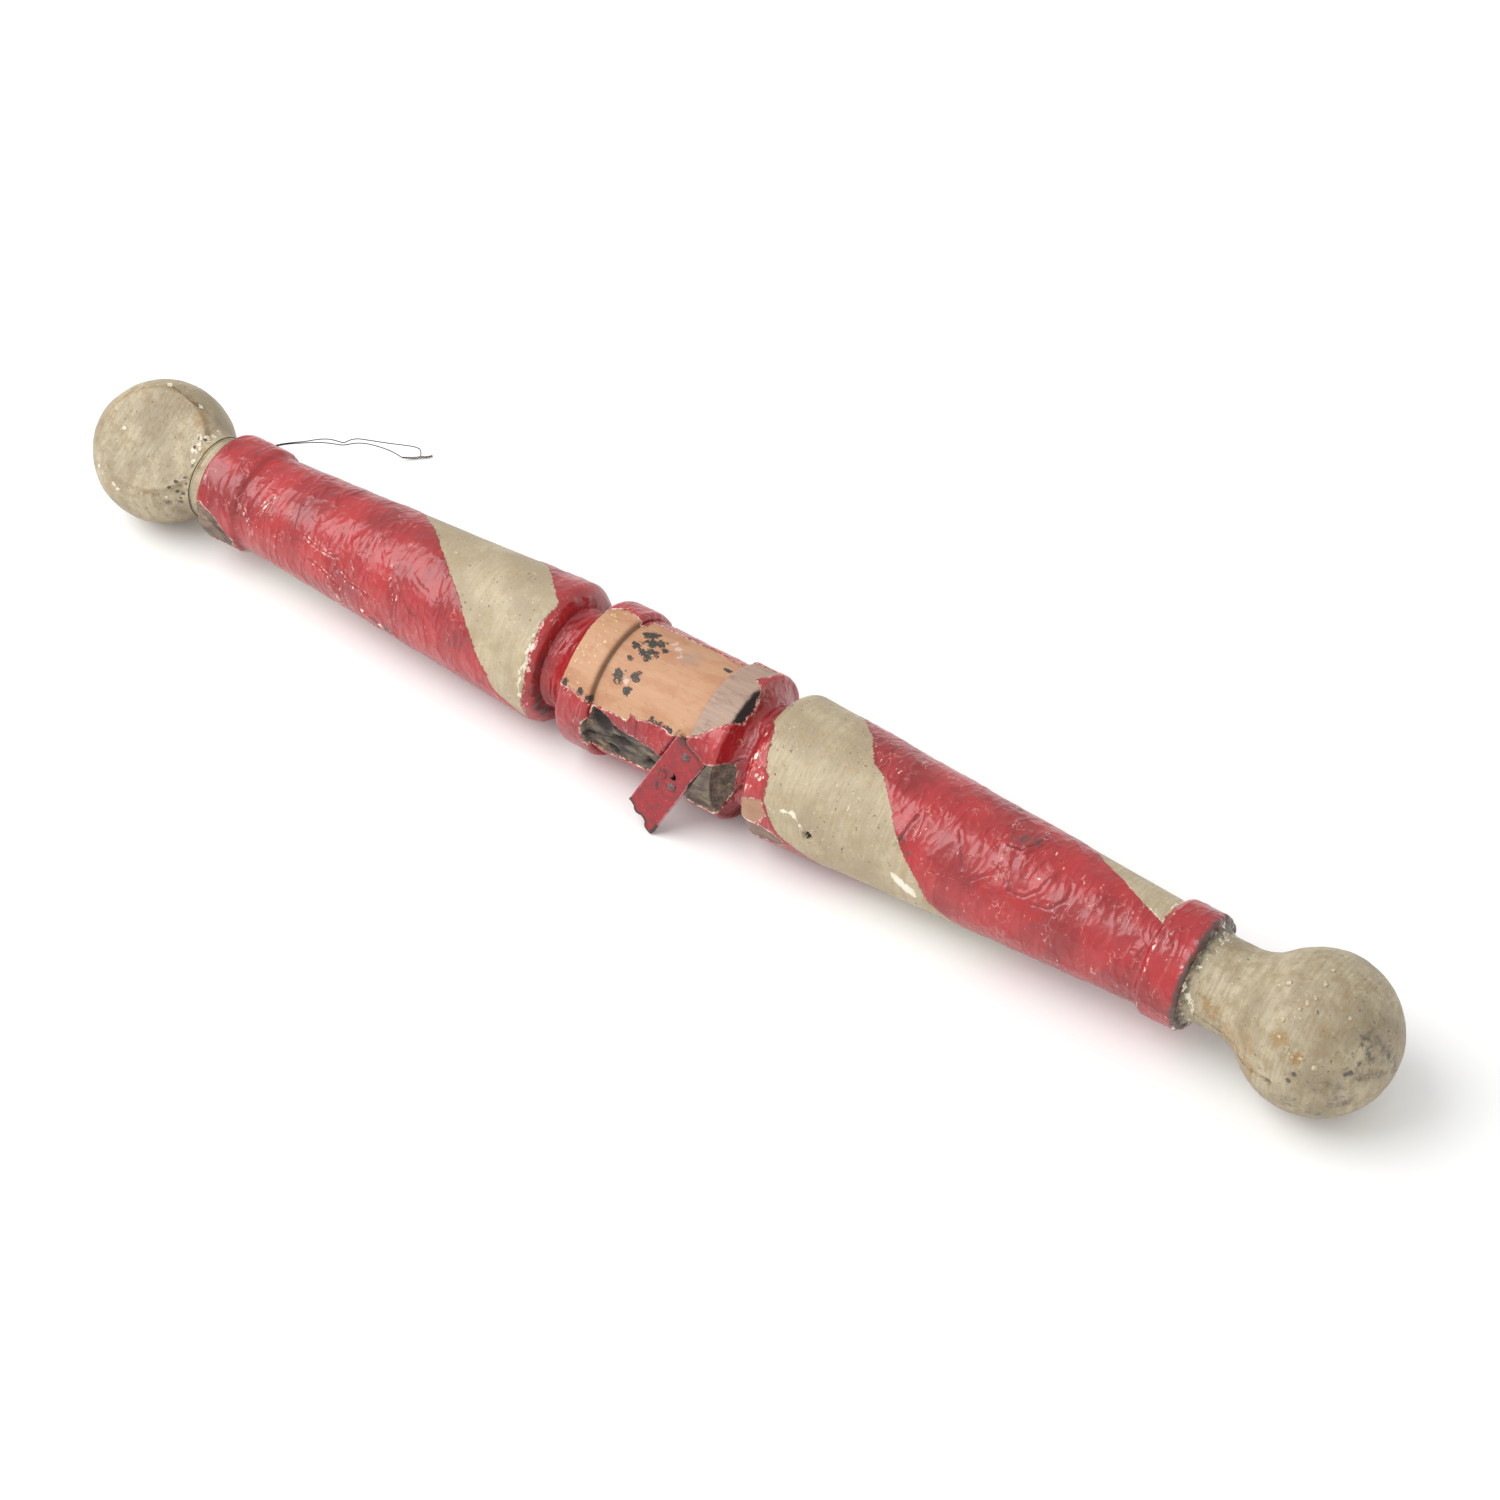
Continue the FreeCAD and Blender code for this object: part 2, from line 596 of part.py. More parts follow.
def make_locking_nails():
    """Nails through the joints' tenons. The one at the drum's right-hand joint is lost."""
    joints = (
        ("left_drum", f"{station(LEFT_RIM)} - dims.drum_nail_inset", nail_in_shaft("left"), 1),
        ("left_ball", f"{station(LEFT_COLLAR)} + dims.ball_nail_inset", NAIL_IN_COLLAR, 1),
        ("right_ball", f"{station(RIGHT_COLLAR)} - dims.ball_nail_inset", NAIL_IN_COLLAR, -1),
    )
    nails = []
    for name, x, top, side in joints:
        point = f"({head_seat(top)} - dims.locking_nail_length)"
        point_at = (x, f"{AXIS_Y} + {side} * {point}", AXIS_Z)
        head_at = (x, f"{AXIS_Y} + {side} * {head_seat(top)}", AXIS_Z)
        turn = ALONG_Y if side > 0 else AGAINST_Y
        nails.append(nail(f"{name}_nail", "dims.locking_nail_length", point_at, head_at, turn))
    joined("Part::Compound", "locking_nails", nails)


def make_neck_wire():
    """The wire tied round the left neck."""
    ring = document.addObject("Part::Torus", "neck_wire")
    ring.Label = "neck_wire"
    ring.setExpression("Radius1", "dims.ball_neck_radius + dims.wire_gap + dims.wire_radius")
    ring.setExpression("Radius2", "dims.wire_radius")
    facing = FreeCAD.Rotation(FreeCAD.Vector(0, 1, 0), 90)
    place(ring, NECK_WIRE_X, AXIS_Y, AXIS_Z, facing)


def bend(before, corner, after):
    """Where a tangent arc leaves and rejoins the runs beside a corner, and the arc's radius."""
    inward = before - corner
    outward = after - corner
    turn = math.pi - inward.getAngle(outward)
    radius = ARC_SHARE * min(inward.Length, outward.Length) / math.tan(turn / 2)
    step = radius * math.tan(turn / 2)
    inward.normalize()
    outward.normalize()
    middle = (inward + outward).normalize()
    apex = corner + middle * (radius / math.cos(turn / 2) - radius)
    return corner + inward * step, apex, corner + outward * step, radius


def wire_tube(label, route, radius):
    """A round wire along straight runs joined by tangent arcs."""
    neck_x = number(NECK_WIRE_X)
    neck_back = number(f"{AXIS_Y} + dims.ball_neck_radius")
    rise = number(AXIS_Z) / ROUTE_AXIS_HEIGHT
    corners = [FreeCAD.Vector(neck_x + x, neck_back + y, z * rise) for x, y, z in route]
    edges = []
    radii = []
    here = corners[0]
    for before, corner, after in zip(corners, corners[1:], corners[2:]):
        start, apex, end, bend_radius = bend(before, corner, after)
        edges.append(Part.LineSegment(here, start).toShape())
        edges.append(Part.Arc(start, apex, end).toShape())
        radii.append(bend_radius)
        here = end
    edges.append(Part.LineSegment(here, corners[-1]).toShape())
    path = Part.Wire(edges)
    section = Part.Wire(Part.makeCircle(radius, corners[0], corners[1] - corners[0]))
    tube = path.makePipeShell([section], True, False)
    wanted = path.Length * math.pi * radius**2
    if abs(tube.Volume / wanted - 1) > 0.01:
        raise ValueError(f"{label}: volume {tube.Volume:.2f}, section times length {wanted:.2f}")
    rounded = ", ".join(f"{value:.1f}" for value in radii)
    print(f"{label}: length {path.Length:.1f}, bend radii {rounded}")
    piece = document.addObject("Part::Feature", label)
    piece.Label = label
    piece.Shape = tube
    piece.Placement = FreeCAD.Placement()


def export(labels):
    """Check every object of the document, then write each piece to its own file."""
    document.recompute()
    for thing in document.Objects:
        if any(state in ("Invalid", "Error") for state in thing.State):
            raise ValueError(f"{thing.Label}: {thing.State}")
    pieces = [document.getObjectsByLabel(label)[0] for label in labels]
    for piece in pieces:
        if piece.Shape.isNull() or not piece.Shape.isValid():
            raise ValueError(f"{piece.Label}: null or invalid shape")
    os.makedirs("parts", exist_ok=True)
    for piece in pieces:
        piece.Shape.exportStep(f"parts/{piece.Label}.step")
        print(f"{piece.Label}: {len(piece.Shape.Solids)} solid(s), {piece.Shape.Volume:.1f} mm3")


make_faceted_ball()
make_ball("right", "right_ball")
make_shaft("left")
make_shaft("right")
make_drum()
make_strap()
make_strap_nails()
make_locking_nails()
make_neck_wire()
wire_tube("hanger_wire_upper", UPPER_WIRE_ROUTE, number("wire_radius"))
wire_tube("hanger_wire_lower", LOWER_WIRE_ROUTE, number("wire_radius"))
wire_tube("wire_twist", TWIST_ROUTE, number("twist_radius"))
export(
    (
        "left_ball",
        "left_shaft",
        "centre_drum",
        "right_shaft",
        "right_ball",
        "wall_strap",
        "strap_nails",
        "locking_nails",
        "neck_wire",
        "hanger_wire_upper",
        "hanger_wire_lower",
        "wire_twist",
    )
)
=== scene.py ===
"""Looks of a turned and painted wooden barber pole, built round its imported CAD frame."""

import json
import logging
import math
from collections.abc import Iterable, Sequence
from dataclasses import dataclass, replace
from enum import Enum

import bpy
import numpy as np
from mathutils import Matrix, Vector
from mathutils.geometry import delaunay_2d_cdt


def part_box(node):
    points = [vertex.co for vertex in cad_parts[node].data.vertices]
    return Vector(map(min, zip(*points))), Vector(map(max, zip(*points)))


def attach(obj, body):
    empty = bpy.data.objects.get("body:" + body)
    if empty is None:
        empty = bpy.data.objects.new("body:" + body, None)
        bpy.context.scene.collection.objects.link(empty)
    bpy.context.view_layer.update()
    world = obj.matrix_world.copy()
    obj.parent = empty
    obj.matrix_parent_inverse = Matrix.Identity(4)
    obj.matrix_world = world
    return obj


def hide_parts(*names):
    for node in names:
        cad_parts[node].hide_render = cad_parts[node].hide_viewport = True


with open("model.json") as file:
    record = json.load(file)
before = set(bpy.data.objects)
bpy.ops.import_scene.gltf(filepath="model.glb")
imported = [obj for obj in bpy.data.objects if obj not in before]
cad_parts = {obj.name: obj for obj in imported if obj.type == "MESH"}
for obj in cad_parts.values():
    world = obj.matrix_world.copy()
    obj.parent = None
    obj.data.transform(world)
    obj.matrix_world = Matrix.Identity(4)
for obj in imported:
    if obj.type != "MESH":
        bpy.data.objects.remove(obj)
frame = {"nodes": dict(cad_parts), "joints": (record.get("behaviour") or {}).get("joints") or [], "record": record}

logging.basicConfig(level=logging.INFO, format="%(message)s")
log = logging.getLogger("barber_pole")

MM = 0.001
HALF_TURN = 180.0
FULL_TURN = 360.0
NEARLY_NOTHING = 1e-12
FAR_AWAY = 1e9
PAIR = tuple[float, float]
TRIPLE = tuple[float, float, float]
SOCKET = bpy.types.NodeSocket
SIZE = float | Sequence[float]


class Side(Enum):
    """Which end of the pole a piece belongs to, and which way along X it lies."""

    LEFT = -1
    RIGHT = 1


class Body(Enum):
    """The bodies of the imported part."""

    POLE = "pole"
    HANGER = "hanger"


# ---------------------------------------------------------------- small tools


def linear(hex_colour: str) -> tuple[float, float, float, float]:
    """Turn an sRGB hex colour into linear values.

    Args:
        hex_colour: Six hex digits after a hash.

    Returns:
        Linear red, green, blue and an alpha of one.
    """
    parts = [int(hex_colour[i : i + 2], 16) / 255 for i in (1, 3, 5)]
    flat = [c / 12.92 if c <= 0.04045 else ((c + 0.055) / 1.055) ** 2.4 for c in parts]
    return flat[0], flat[1], flat[2], 1.0


def smooth(low: float, high: float, value: np.ndarray) -> np.ndarray:
    """Smooth step from 0 at low to 1 at high."""
    t = np.clip((value - low) / (high - low), 0.0, 1.0)
    return t * t * (3.0 - 2.0 * t)


def hump(distance: np.ndarray, width: float) -> np.ndarray:
    """A rounded hump: 1 at no distance, all but gone at twice the width."""
    return np.exp(-((distance / width) ** 2))


class Noise:
    """Smooth seeded noise in space, from about -1 to 1."""

    CELLS = 48

    def __init__(self, seed: int) -> None:
        """Draw the lattice of random values."""
        draw = np.random.default_rng(seed)
        self.lattice = draw.uniform(-1.0, 1.0, (self.CELLS,) * 3)

    def once(self, places: np.ndarray) -> np.ndarray:
        """Blend the eight lattice values round each place."""
        cell = np.floor(places).astype(int)
        part = places - cell
        part = part * part * (3.0 - 2.0 * part)
        total = np.zeros(len(places))
        for corner in range(8):
            step = np.array([corner >> 2 & 1, corner >> 1 & 1, corner & 1])
            share = np.prod(np.where(step, part, 1.0 - part), axis=1)
            i, j, k = ((cell + step) % self.CELLS).T
            total += share * self.lattice[i, j, k]
        return total

    def at(self, points: np.ndarray, size: SIZE, octaves: int = 3) -> np.ndarray:
        """Noise at points.

        Args:
            points: Places in millimetres, one row each.
            size: Size of the largest lumps in millimetres, one or three numbers.
            octaves: How many times detail is added at half the size.

        Returns:
            One value for each point.
        """
        places = points / np.asarray(size, float)
        total = np.zeros(len(points))
        share = 1.0
        for octave in range(octaves):
            total += share * self.once(places * 2.0**octave + 7.3 * octave)
            share *= 0.5
        return total


def fold_lines(noise: Noise, points: np.ndarray, size: Sequence[float], sharp: float) -> np.ndarray:
    """Thin raised folds like those of slack leather.

    Args:
        noise: The noise that places them.
        points: Places in millimetres.
        size: Spacing of the folds in millimetres along X, Y and Z.
        sharp: How narrow the folds are.

    Returns:
        A height from 0 to 1 for each point.
    """
    bends = [noise.at(points + shift, 24.0, 2) for shift in (0.0, 91.0, 173.0)]
    bent = points + 5.0 * np.stack(bends, axis=1)
    return np.clip(1.0 - sharp * np.abs(noise.at(bent, size, 2)), 0.0, 1.0) ** 2


def distance_to_run(u: np.ndarray, v: np.ndarray, start: PAIR, end: PAIR) -> np.ndarray:
    """Distance to a straight run between two corners."""
    du, dv = end[0] - start[0], end[1] - start[1]
    along = ((u - start[0]) * du + (v - start[1]) * dv) / (du * du + dv * dv + NEARLY_NOTHING)
    t = np.clip(along, 0.0, 1.0)
    return np.hypot(u - start[0] - t * du, v - start[1] - t * dv)


def distance_to_outline(u: np.ndarray, v: np.ndarray, outline: Sequence[PAIR]) -> np.ndarray:
    """Signed distance to a closed outline, positive inside.

    Args:
        u: First coordinate of the points.
        v: Second coordinate of the points.
        outline: The outline's corners in the same coordinates.

    Returns:
        The distance of each point.
    """
    corners = np.asarray(outline, float)
    nearest = np.full(len(u), FAR_AWAY)
    inside = np.zeros(len(u), bool)
    for start, end in zip(corners, np.roll(corners, -1, axis=0)):
        nearest = np.minimum(nearest, distance_to_run(u, v, start, end))
        (u0, v0), (du, dv) = start, end - start
        crosses = (v0 > v) != (end[1] > v)
        rise = dv if abs(dv) > NEARLY_NOTHING else NEARLY_NOTHING
        inside ^= crosses & (u < u0 + (v - v0) * du / rise)
    return np.where(inside, nearest, -nearest)


def distance_to_line(u: np.ndarray, v: np.ndarray, line: Sequence[PAIR]) -> np.ndarray:
    """Distance to an open line through the given corners."""
    corners = np.asarray(line, float)
    nearest = np.full(len(u), FAR_AWAY)
    for start, end in zip(corners, corners[1:]):
        nearest = np.minimum(nearest, distance_to_run(u, v, start, end))
    return nearest


def new_object(name: str, mesh: bpy.types.Mesh, material: bpy.types.Material) -> bpy.types.Object:
    """Link a mesh into the scene with one material."""
    mesh.materials.clear()
    mesh.materials.append(material)
    thing = bpy.data.objects.new(name, mesh)
    bpy.context.scene.collection.objects.link(thing)
    return thing


def mesh_of(
    name: str, points: np.ndarray, faces: Iterable[Sequence[int]], attributes: dict[str, np.ndarray]
) -> bpy.types.Mesh:
    """Make a smooth mesh from points in millimetres.

    Args:
        name: The mesh's name.
        points: Places in millimetres, one row each.
        faces: Corner numbers of each face.
        attributes: Values kept on the points, by name.

    Returns:
        The mesh, in metres.
    """
    mesh = bpy.data.meshes.new(name)
    mesh.from_pydata((points * MM).tolist(), [], faces)
    mesh.polygons.foreach_set("use_smooth", np.ones(len(mesh.polygons), bool))
    for key, values in attributes.items():
        kept = mesh.attributes.new(key, "FLOAT", "POINT")
        kept.data.foreach_set("value", values.astype(np.float32))
    mesh.update()
    return mesh


def declare(piece: bpy.types.Object, body: Body, slot: str, node: str | None = None) -> bpy.types.Object:
    """Hang a finished piece on its body's empty, hide the CAD part that it replaces, and report it.

    Args:
        piece: The piece.
        body: The body that carries it.
        slot: The record's material slot.
        node: The CAD node that it replaces, if it replaces one.

    Returns:
        The same piece.
    """
    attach(piece, body.value)
    if node:
        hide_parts(node)
    log.info("%s: rides on the %s, %s", piece.name, body.value, slot)
    return piece
# ---------------------------------------------------------------- materials


def add(tree: bpy.types.NodeTree, kind: str, inputs: dict | None = None, **settings: object) -> bpy.types.Node:
    """Add a node, set it up and link it.

    Args:
        tree: The node tree.
        kind: The node's type name.
        inputs: Values or output sockets for its inputs, by name or number.
        settings: Properties of the node itself.

    Returns:
        The node.
    """
    node = tree.nodes.new(kind)
    for key, value in settings.items():
        setattr(node, key, value)
    for key, value in (inputs or {}).items():
        if isinstance(value, SOCKET):
            tree.links.new(value, node.inputs[key])
        elif value is not None:
            node.inputs[key].default_value = value
    return node


class Shade:
    """A material under construction, with the patterns that all finishes share.

    Where a pattern takes a colour, it may be an output or six hex digits after a hash. Where it takes a value,
    it may be an output, a number or the name of a value that the mesh keeps on its points.
    """

    def __init__(self, name: str) -> None:
        """Start an empty material that reads places on the object in millimetres."""
        self.material = bpy.data.materials.new(name)
        self.material.use_nodes = True
        self.tree = self.material.node_tree
        self.tree.nodes.clear()
        self.known: dict[tuple, SOCKET] = {}
        place = self.node("ShaderNodeTexCoord", {}, "Object")
        self.place = self.node("ShaderNodeVectorMath", {0: place, "Scale": 1 / MM}, operation="SCALE")

    def read(self, value: object) -> object:
        """Turn a hex colour into linear values, and the name of a kept value into its output."""
        if not isinstance(value, str):
            return value
        if value.startswith("#"):
            return linear(value)
        return add(self.tree, "ShaderNodeAttribute", attribute_name=value).outputs["Fac"]

    def node(self, kind: str, inputs: dict, output: int | str = 0, **settings: object) -> SOCKET:
        """Add a node, reading its inputs first, and give one of its outputs."""
        given = {key: self.read(value) for key, value in inputs.items()}
        return add(self.tree, kind, given, **settings).outputs[output]

    def noise(self, size: SIZE, detail: float = 3.0, rough: float = 0.55, shift: float = 0.0) -> SOCKET:
        """Noise centred on 0.5, laid once for every finish that asks for the same.

        Args:
            size: Size of its lumps in millimetres, one or three numbers.
            detail: How many times finer detail is added.
            rough: How strong the finer detail is.
            shift: Where it is cut from, so that two patterns of one size differ.

        Returns:
            The noise's output.
        """
        sizes = (size,) * 3 if isinstance(size, (int, float)) else tuple(size)
        key = (sizes, detail, rough, shift)
        if key not in self.known:
            scale = tuple(1 / length for length in sizes)
            moved = {"Vector": self.place, "Location": (shift,) * 3, "Scale": scale}
            inputs = {"Vector": self.node("ShaderNodeMapping", moved), "Scale": 1.0}
            inputs |= {"Detail": detail, "Roughness": rough}
            self.known[key] = self.node("ShaderNodeTexNoise", inputs, "Fac")
        return self.known[key]

    def total(self, *terms: tuple[object, object], start: float = 0.0) -> SOCKET:
        """Add up products of two values.

        Args:
            terms: Pairs of values to multiply.
            start: What the products are added to.

        Returns:
            The sum.
        """
        whole: object = start
        for first, second in terms:
            whole = self.node("ShaderNodeMath", {0: first, 1: second, 2: whole}, operation="MULTIPLY_ADD")
        return whole

    def ragged(self, value: object, noise: SOCKET, reach: float) -> SOCKET:
        """A value whose edges are broken up by noise."""
        return self.total((value, 1.0), (noise, reach), start=-0.5 * reach)

    def ridge(self, size: SIZE, sharp: float, detail: float = 2.0, shift: float = 0.0) -> SOCKET:
        """Thin raised lines, 1 on the line, where noise passes its middle value."""
        centred = self.total((self.noise(size, detail, 0.5, shift), 1.0), start=-0.5)
        off = self.node("ShaderNodeMath", {0: centred}, operation="ABSOLUTE")
        steep = {0: off, 1: -sharp, 2: 1.0}
        return self.node("ShaderNodeMath", steep, operation="MULTIPLY_ADD", use_clamp=True)

    def rise(self, value: object, low: float, high: float, foot: float = 0.0, top: float = 1.0) -> SOCKET:
        """Go smoothly from foot to top as a value goes from low to high."""
        inputs = {"Value": value, "From Min": low, "From Max": high, "To Min": foot, "To Max": top}
        return self.node("ShaderNodeMapRange", inputs, interpolation_type="SMOOTHSTEP")

    def over(
        self,
        under: object,
        colour: object,
        value: object,
        low: float | None = None,
        high: float = 1.0,
        share: float = 1.0,
    ) -> SOCKET:
        """Lay a colour over another.

        Args:
            under: The colour below.
            colour: The colour that is laid.
            value: Where it is laid.
            low: The value at which it starts to show, or None to take the value itself as its share.
            high: The value at which it shows in full.
            share: How well it covers there.

        Returns:
            The colour that results.
        """
        cover = value if low is None else self.rise(value, low, high, 0.0, share)
        return self.node("ShaderNodeMix", {0: cover, 6: under, 7: colour}, 2, data_type="RGBA")

    def between(self, value: object, start: object, end: object) -> SOCKET:
        """Go evenly from start to end as a value goes from 0 to 1."""
        return self.node("ShaderNodeMix", {0: value, 2: start, 3: end}, data_type="FLOAT")

    def finish(
        self,
        colour: object,
        roughness: object,
        height: object,
        depth: float,
        metallic: float = 0.0,
        ior: float = 1.5,
    ) -> bpy.types.Material:
        """Close the material.

        Args:
            colour: Base colour.
            roughness: Roughness.
            height: Height for the bump.
            depth: What a height of 1 stands for, in millimetres.
            metallic: How metallic it is, from 0 to 1.
            ior: Index of refraction.

        Returns:
            The material.
        """
        bump = self.node("ShaderNodeBump", {"Height": height, "Strength": 1.0, "Distance": depth * MM})
        inputs = {"Base Color": colour, "Roughness": roughness, "Metallic": metallic, "Normal": bump}
        shader = self.node("ShaderNodeBsdfPrincipled", {**inputs, "IOR": ior})
        add(self.tree, "ShaderNodeOutputMaterial", {"Surface": shader})
        return self.material


@dataclass(frozen=True)
class AgedPaintOnWood:
    """Old oil paint in red and cream, brushed thickly over turned softwood.

    The red has a glossy skin that has wrinkled like leather. The cream has gone matt, with brush lines, pits
    and tan stains. Where the skin has come off, bare wood shows: tan where it is fresh, grey where it has
    weathered, dark and crumbling where it has rotted. Torn edges show a pale undercoat.
    """

    name: str = "aged_oil_paint_on_softwood"
    red: str = "#A62427"
    red_deep: str = "#861B20"
    red_brown: str = "#7A1D1D"
    red_worn: str = "#BE6460"
    red_highlight: str = "#DDB9AE"
    red_crack_and_shade: str = "#4E1A1B"
    cream: str = "#B4A587"
    cream_dark: str = "#9C8B6F"
    cream_grey: str = "#8F8873"
    cream_pit: str = "#57472F"
    cream_chip: str = "#D2C7AF"
    tan: str = "#A28A62"
    brown_stain_and_shade: str = "#94702F"
    grime_and_shade: str = "#45403B"
    undercoat: str = "#DCCFB4"
    pink: str = "#CF9088"
    pale_on_red: str = "#E6DFD2"
    pale_on_cream: str = "#DDD3BD"
    palest: str = "#E4DECF"
    wood: str = "#B88B68"
    wood_dark: str = "#A67650"
    wood_warm: str = "#A97450"
    wood_brown: str = "#94623F"
    grey_wood: str = "#A58876"
    grey_grain: str = "#8C7565"
    grey_brown: str = "#7A5F50"
    rot: str = "#3A302C"
    rot_light: str = "#74675B"
    rot_straw: str = "#A08764"
    rot_moss: str = "#5C5E45"
    rot_fibre: str = "#2A211D"
    rot_hollow: str = "#1D1613"
    old_green: str = "#2B2D1E"
    old_black: str = "#292321"
    old_red: str = "#B4604C"
    blush: str = "#C9AFA6"
    yellowed: str = "#D6BC8B"
    wood_crack_and_shade: str = "#33261B"
    tan_from: float = 0.5
    tan_share: float = 0.6

    def red_skin(self, s: Shade) -> SOCKET:
        """The red: deeper and browner in places, worn pink, with thin pale lines of painted highlight, and darker
        in its creases.
        """
        # Thin pale lines: painted highlight where light catches the folds.
        highlight_share = s.rise(s.noise(15.0, shift=8.0), 0.52, 0.66, 0.0, 0.55)
        highlight_lines = s.total((s.ridge((5.0, 11.0, 11.0), 60.0, 2.0, 77.0), highlight_share))
        red = s.over(self.red, self.red_deep, s.noise(34.0), 0.35, 0.7)
        red = s.over(red, self.red_brown, s.noise(11.0, 5.0, 0.7, 4.0), 0.5, 0.75, 0.45)
        red = s.over(red, self.red_worn, s.noise(3.0, 5.0, 0.7), 0.58, 0.78, 0.55)
        red = s.over(red, self.red_highlight, highlight_lines)
        return s.over(red, self.red_crack_and_shade, "crease", 0.1, 1.0, 0.75)

    def cream_coat(self, s: Shade, brushed: SOCKET, blots: SOCKET) -> SOCKET:
        """The cream: brush lines, tan and grey blotches, pits, pale chips, brown stains and painted shade."""
        cream = s.over(self.cream, self.cream_dark, s.noise(34.0), 0.38, 0.66)
        cream = s.over(cream, self.cream_dark, brushed, 0.4, 0.62, 0.5)
        blotches, full = s.noise(8.0, 6.0, 0.72), self.tan_from + 0.16
        cream = s.over(cream, self.tan, blotches, self.tan_from, full, self.tan_share)
        cream = s.over(cream, self.cream_grey, s.noise(4.5, 5.0, 0.7, 61.0), 0.55, 0.66, 0.4)
        cream = s.over(cream, self.cream_pit, s.noise(2.6, 3.0, 0.6), 0.655, 0.7, 0.85)
        cream = s.over(cream, self.cream_chip, s.noise(2.8, 2.0, shift=31.0), 0.68, 0.73, 0.5)
        return s.over(cream, self.brown_stain_and_shade, s.ragged("stain_and_shade", blots, 3.4), 0.3, 1.3, 0.75)

    def worn_edges(self, s: Shade, paint: SOCKET, is_cream: SOCKET, bare: SOCKET) -> SOCKET:
        """Pale undercoat and pink along torn edges, paint rubbed or chipped pale, and pale painted highlights."""
        lip = s.total((s.rise(bare, -1.1, -0.5), s.rise(s.noise(3.2), 0.42, 0.55)))
        paint = s.over(paint, s.over(self.pink, self.undercoat, s.noise(4.0, 2.0), 0.45, 0.6), lip)
        pale = s.over(self.pink, self.pale_on_red, s.noise((4.0, 7.0, 7.0)), 0.42, 0.62)
        pale = s.over(pale, self.pale_on_cream, is_cream)
        pale = s.over(pale, self.palest, "pale", 0.75, 1.0)
        streaked = s.ragged("pale", s.noise((3.6, 8.0, 8.0), 5.0, 0.7, 9.0), 2.2)
        return s.over(paint, pale, streaked, 0.42, 0.55)

    def rotten_wood(self, s: Shade, lumps: SOCKET, fibre: SOCKET) -> SOCKET:
        """Rot: dark and crumbling, with lighter lumps, straw and moss tints, and hollows darker still with painted
        shade.
        """
        rot = s.over(self.rot, self.rot_light, lumps, 0.38, 0.62)
        rot = s.over(rot, self.rot_straw, s.noise((12.0, 6.0, 6.0), 5.0, 0.7, 41.0), 0.54, 0.64, 0.7)
        rot = s.over(rot, self.rot_moss, s.noise((10.0, 6.0, 6.0), 5.0, 0.7, 49.0), 0.54, 0.62, 0.7)
        rot = s.over(rot, self.rot_fibre, fibre, 0.5, 0.62, 0.7)
        return s.over(rot, self.rot_hollow, "pit", 0.15, 0.75, 0.92)

    def bare_wood(self, s: Shade, grain: SOCKET, rot: SOCKET, is_fleck: SOCKET) -> SOCKET:
        """Bare wood: tan or weathered grey, rot, flecks of the oldest paint, and dark cracks with painted shade in
        grooves and holes.
        """
        wood = s.over(self.wood, self.wood_dark, grain, 0.38, 0.7, 0.3)
        wood = s.over(wood, self.wood_warm, s.noise((20.0, 9.0, 9.0), 4.0, 0.6, 5.0), 0.42, 0.66, 0.75)
        wood = s.over(wood, self.wood_brown, s.noise(7.0, 5.0, 0.7, 15.0), 0.58, 0.68, 0.4)
        grey = s.over(self.grey_wood, self.grey_grain, grain, 0.35, 0.65, 0.5)
        grey = s.over(grey, self.grey_brown, s.noise((14.0, 5.0, 5.0), 5.0, 0.7, 25.0), 0.5, 0.7, 0.8)
        wood = s.over(s.over(wood, grey, "grey"), rot, "rot")
        fleck = s.over(self.old_green, self.old_black, s.noise(5.0, 2.0, shift=12.0), 0.46, 0.56)
        fleck = s.over(fleck, self.old_red, s.noise(4.0, shift=19.0), 0.6, 0.68)
        wood = s.over(wood, fleck, is_fleck)
        blushed = s.ragged("blush", s.noise(4.0, 5.0, 0.7, 13.0), 2.0)
        wood = s.over(wood, self.blush, blushed, 0.5, 0.75, 0.85)
        wood = s.over(wood, self.yellowed, s.ragged("chips", s.noise(3.0, 4.0, 0.7, 23.0), 3.4), 0.72, 0.8)
        return s.over(wood, self.wood_crack_and_shade, "crease", 0.1, 1.0, 0.8)

    def build(self) -> bpy.types.Material:
        """Build the material.

        Returns:
            The material, which reads the values that the turned pieces keep on their points.
        """
        s = Shade(self.name)
        fine, blots = s.noise(1.4), s.noise(5.0, 6.0, 0.72, 71.0)
        brushed = s.noise((2.0, 22.0, 22.0), 3.0, 0.6)
        grain = s.noise((38.0, 1.3, 1.3), 4.0, 0.6)
        lumps = s.noise((15.0, 7.0, 7.0), 6.0, 0.68)
        fibre = s.noise((11.0, 1.5, 1.5), 4.0, 0.65, 33.0)

        is_cream = s.rise(s.ragged("cream", s.noise(2.4, 4.0, 0.65), 4.0), -0.15, 0.15)
        bare = s.ragged("bare", s.noise(2.6, 5.0, 0.7, 17.0), 4.0)
        is_bare = s.rise(bare, -0.1, 0.1)
        breaking = s.total((s.noise(4.6, 5.0, 0.75, 3.0), 1.0), start=-0.5)
        flecks = s.total(("fleck", 1.0), (breaking, s.rise("fleck", 0.02, 0.4, 0.0, 3.2)))
        is_fleck = s.rise(flecks, 0.5, 0.58)

        paint = s.over(self.red_skin(s), self.cream_coat(s, brushed, blots), is_cream)
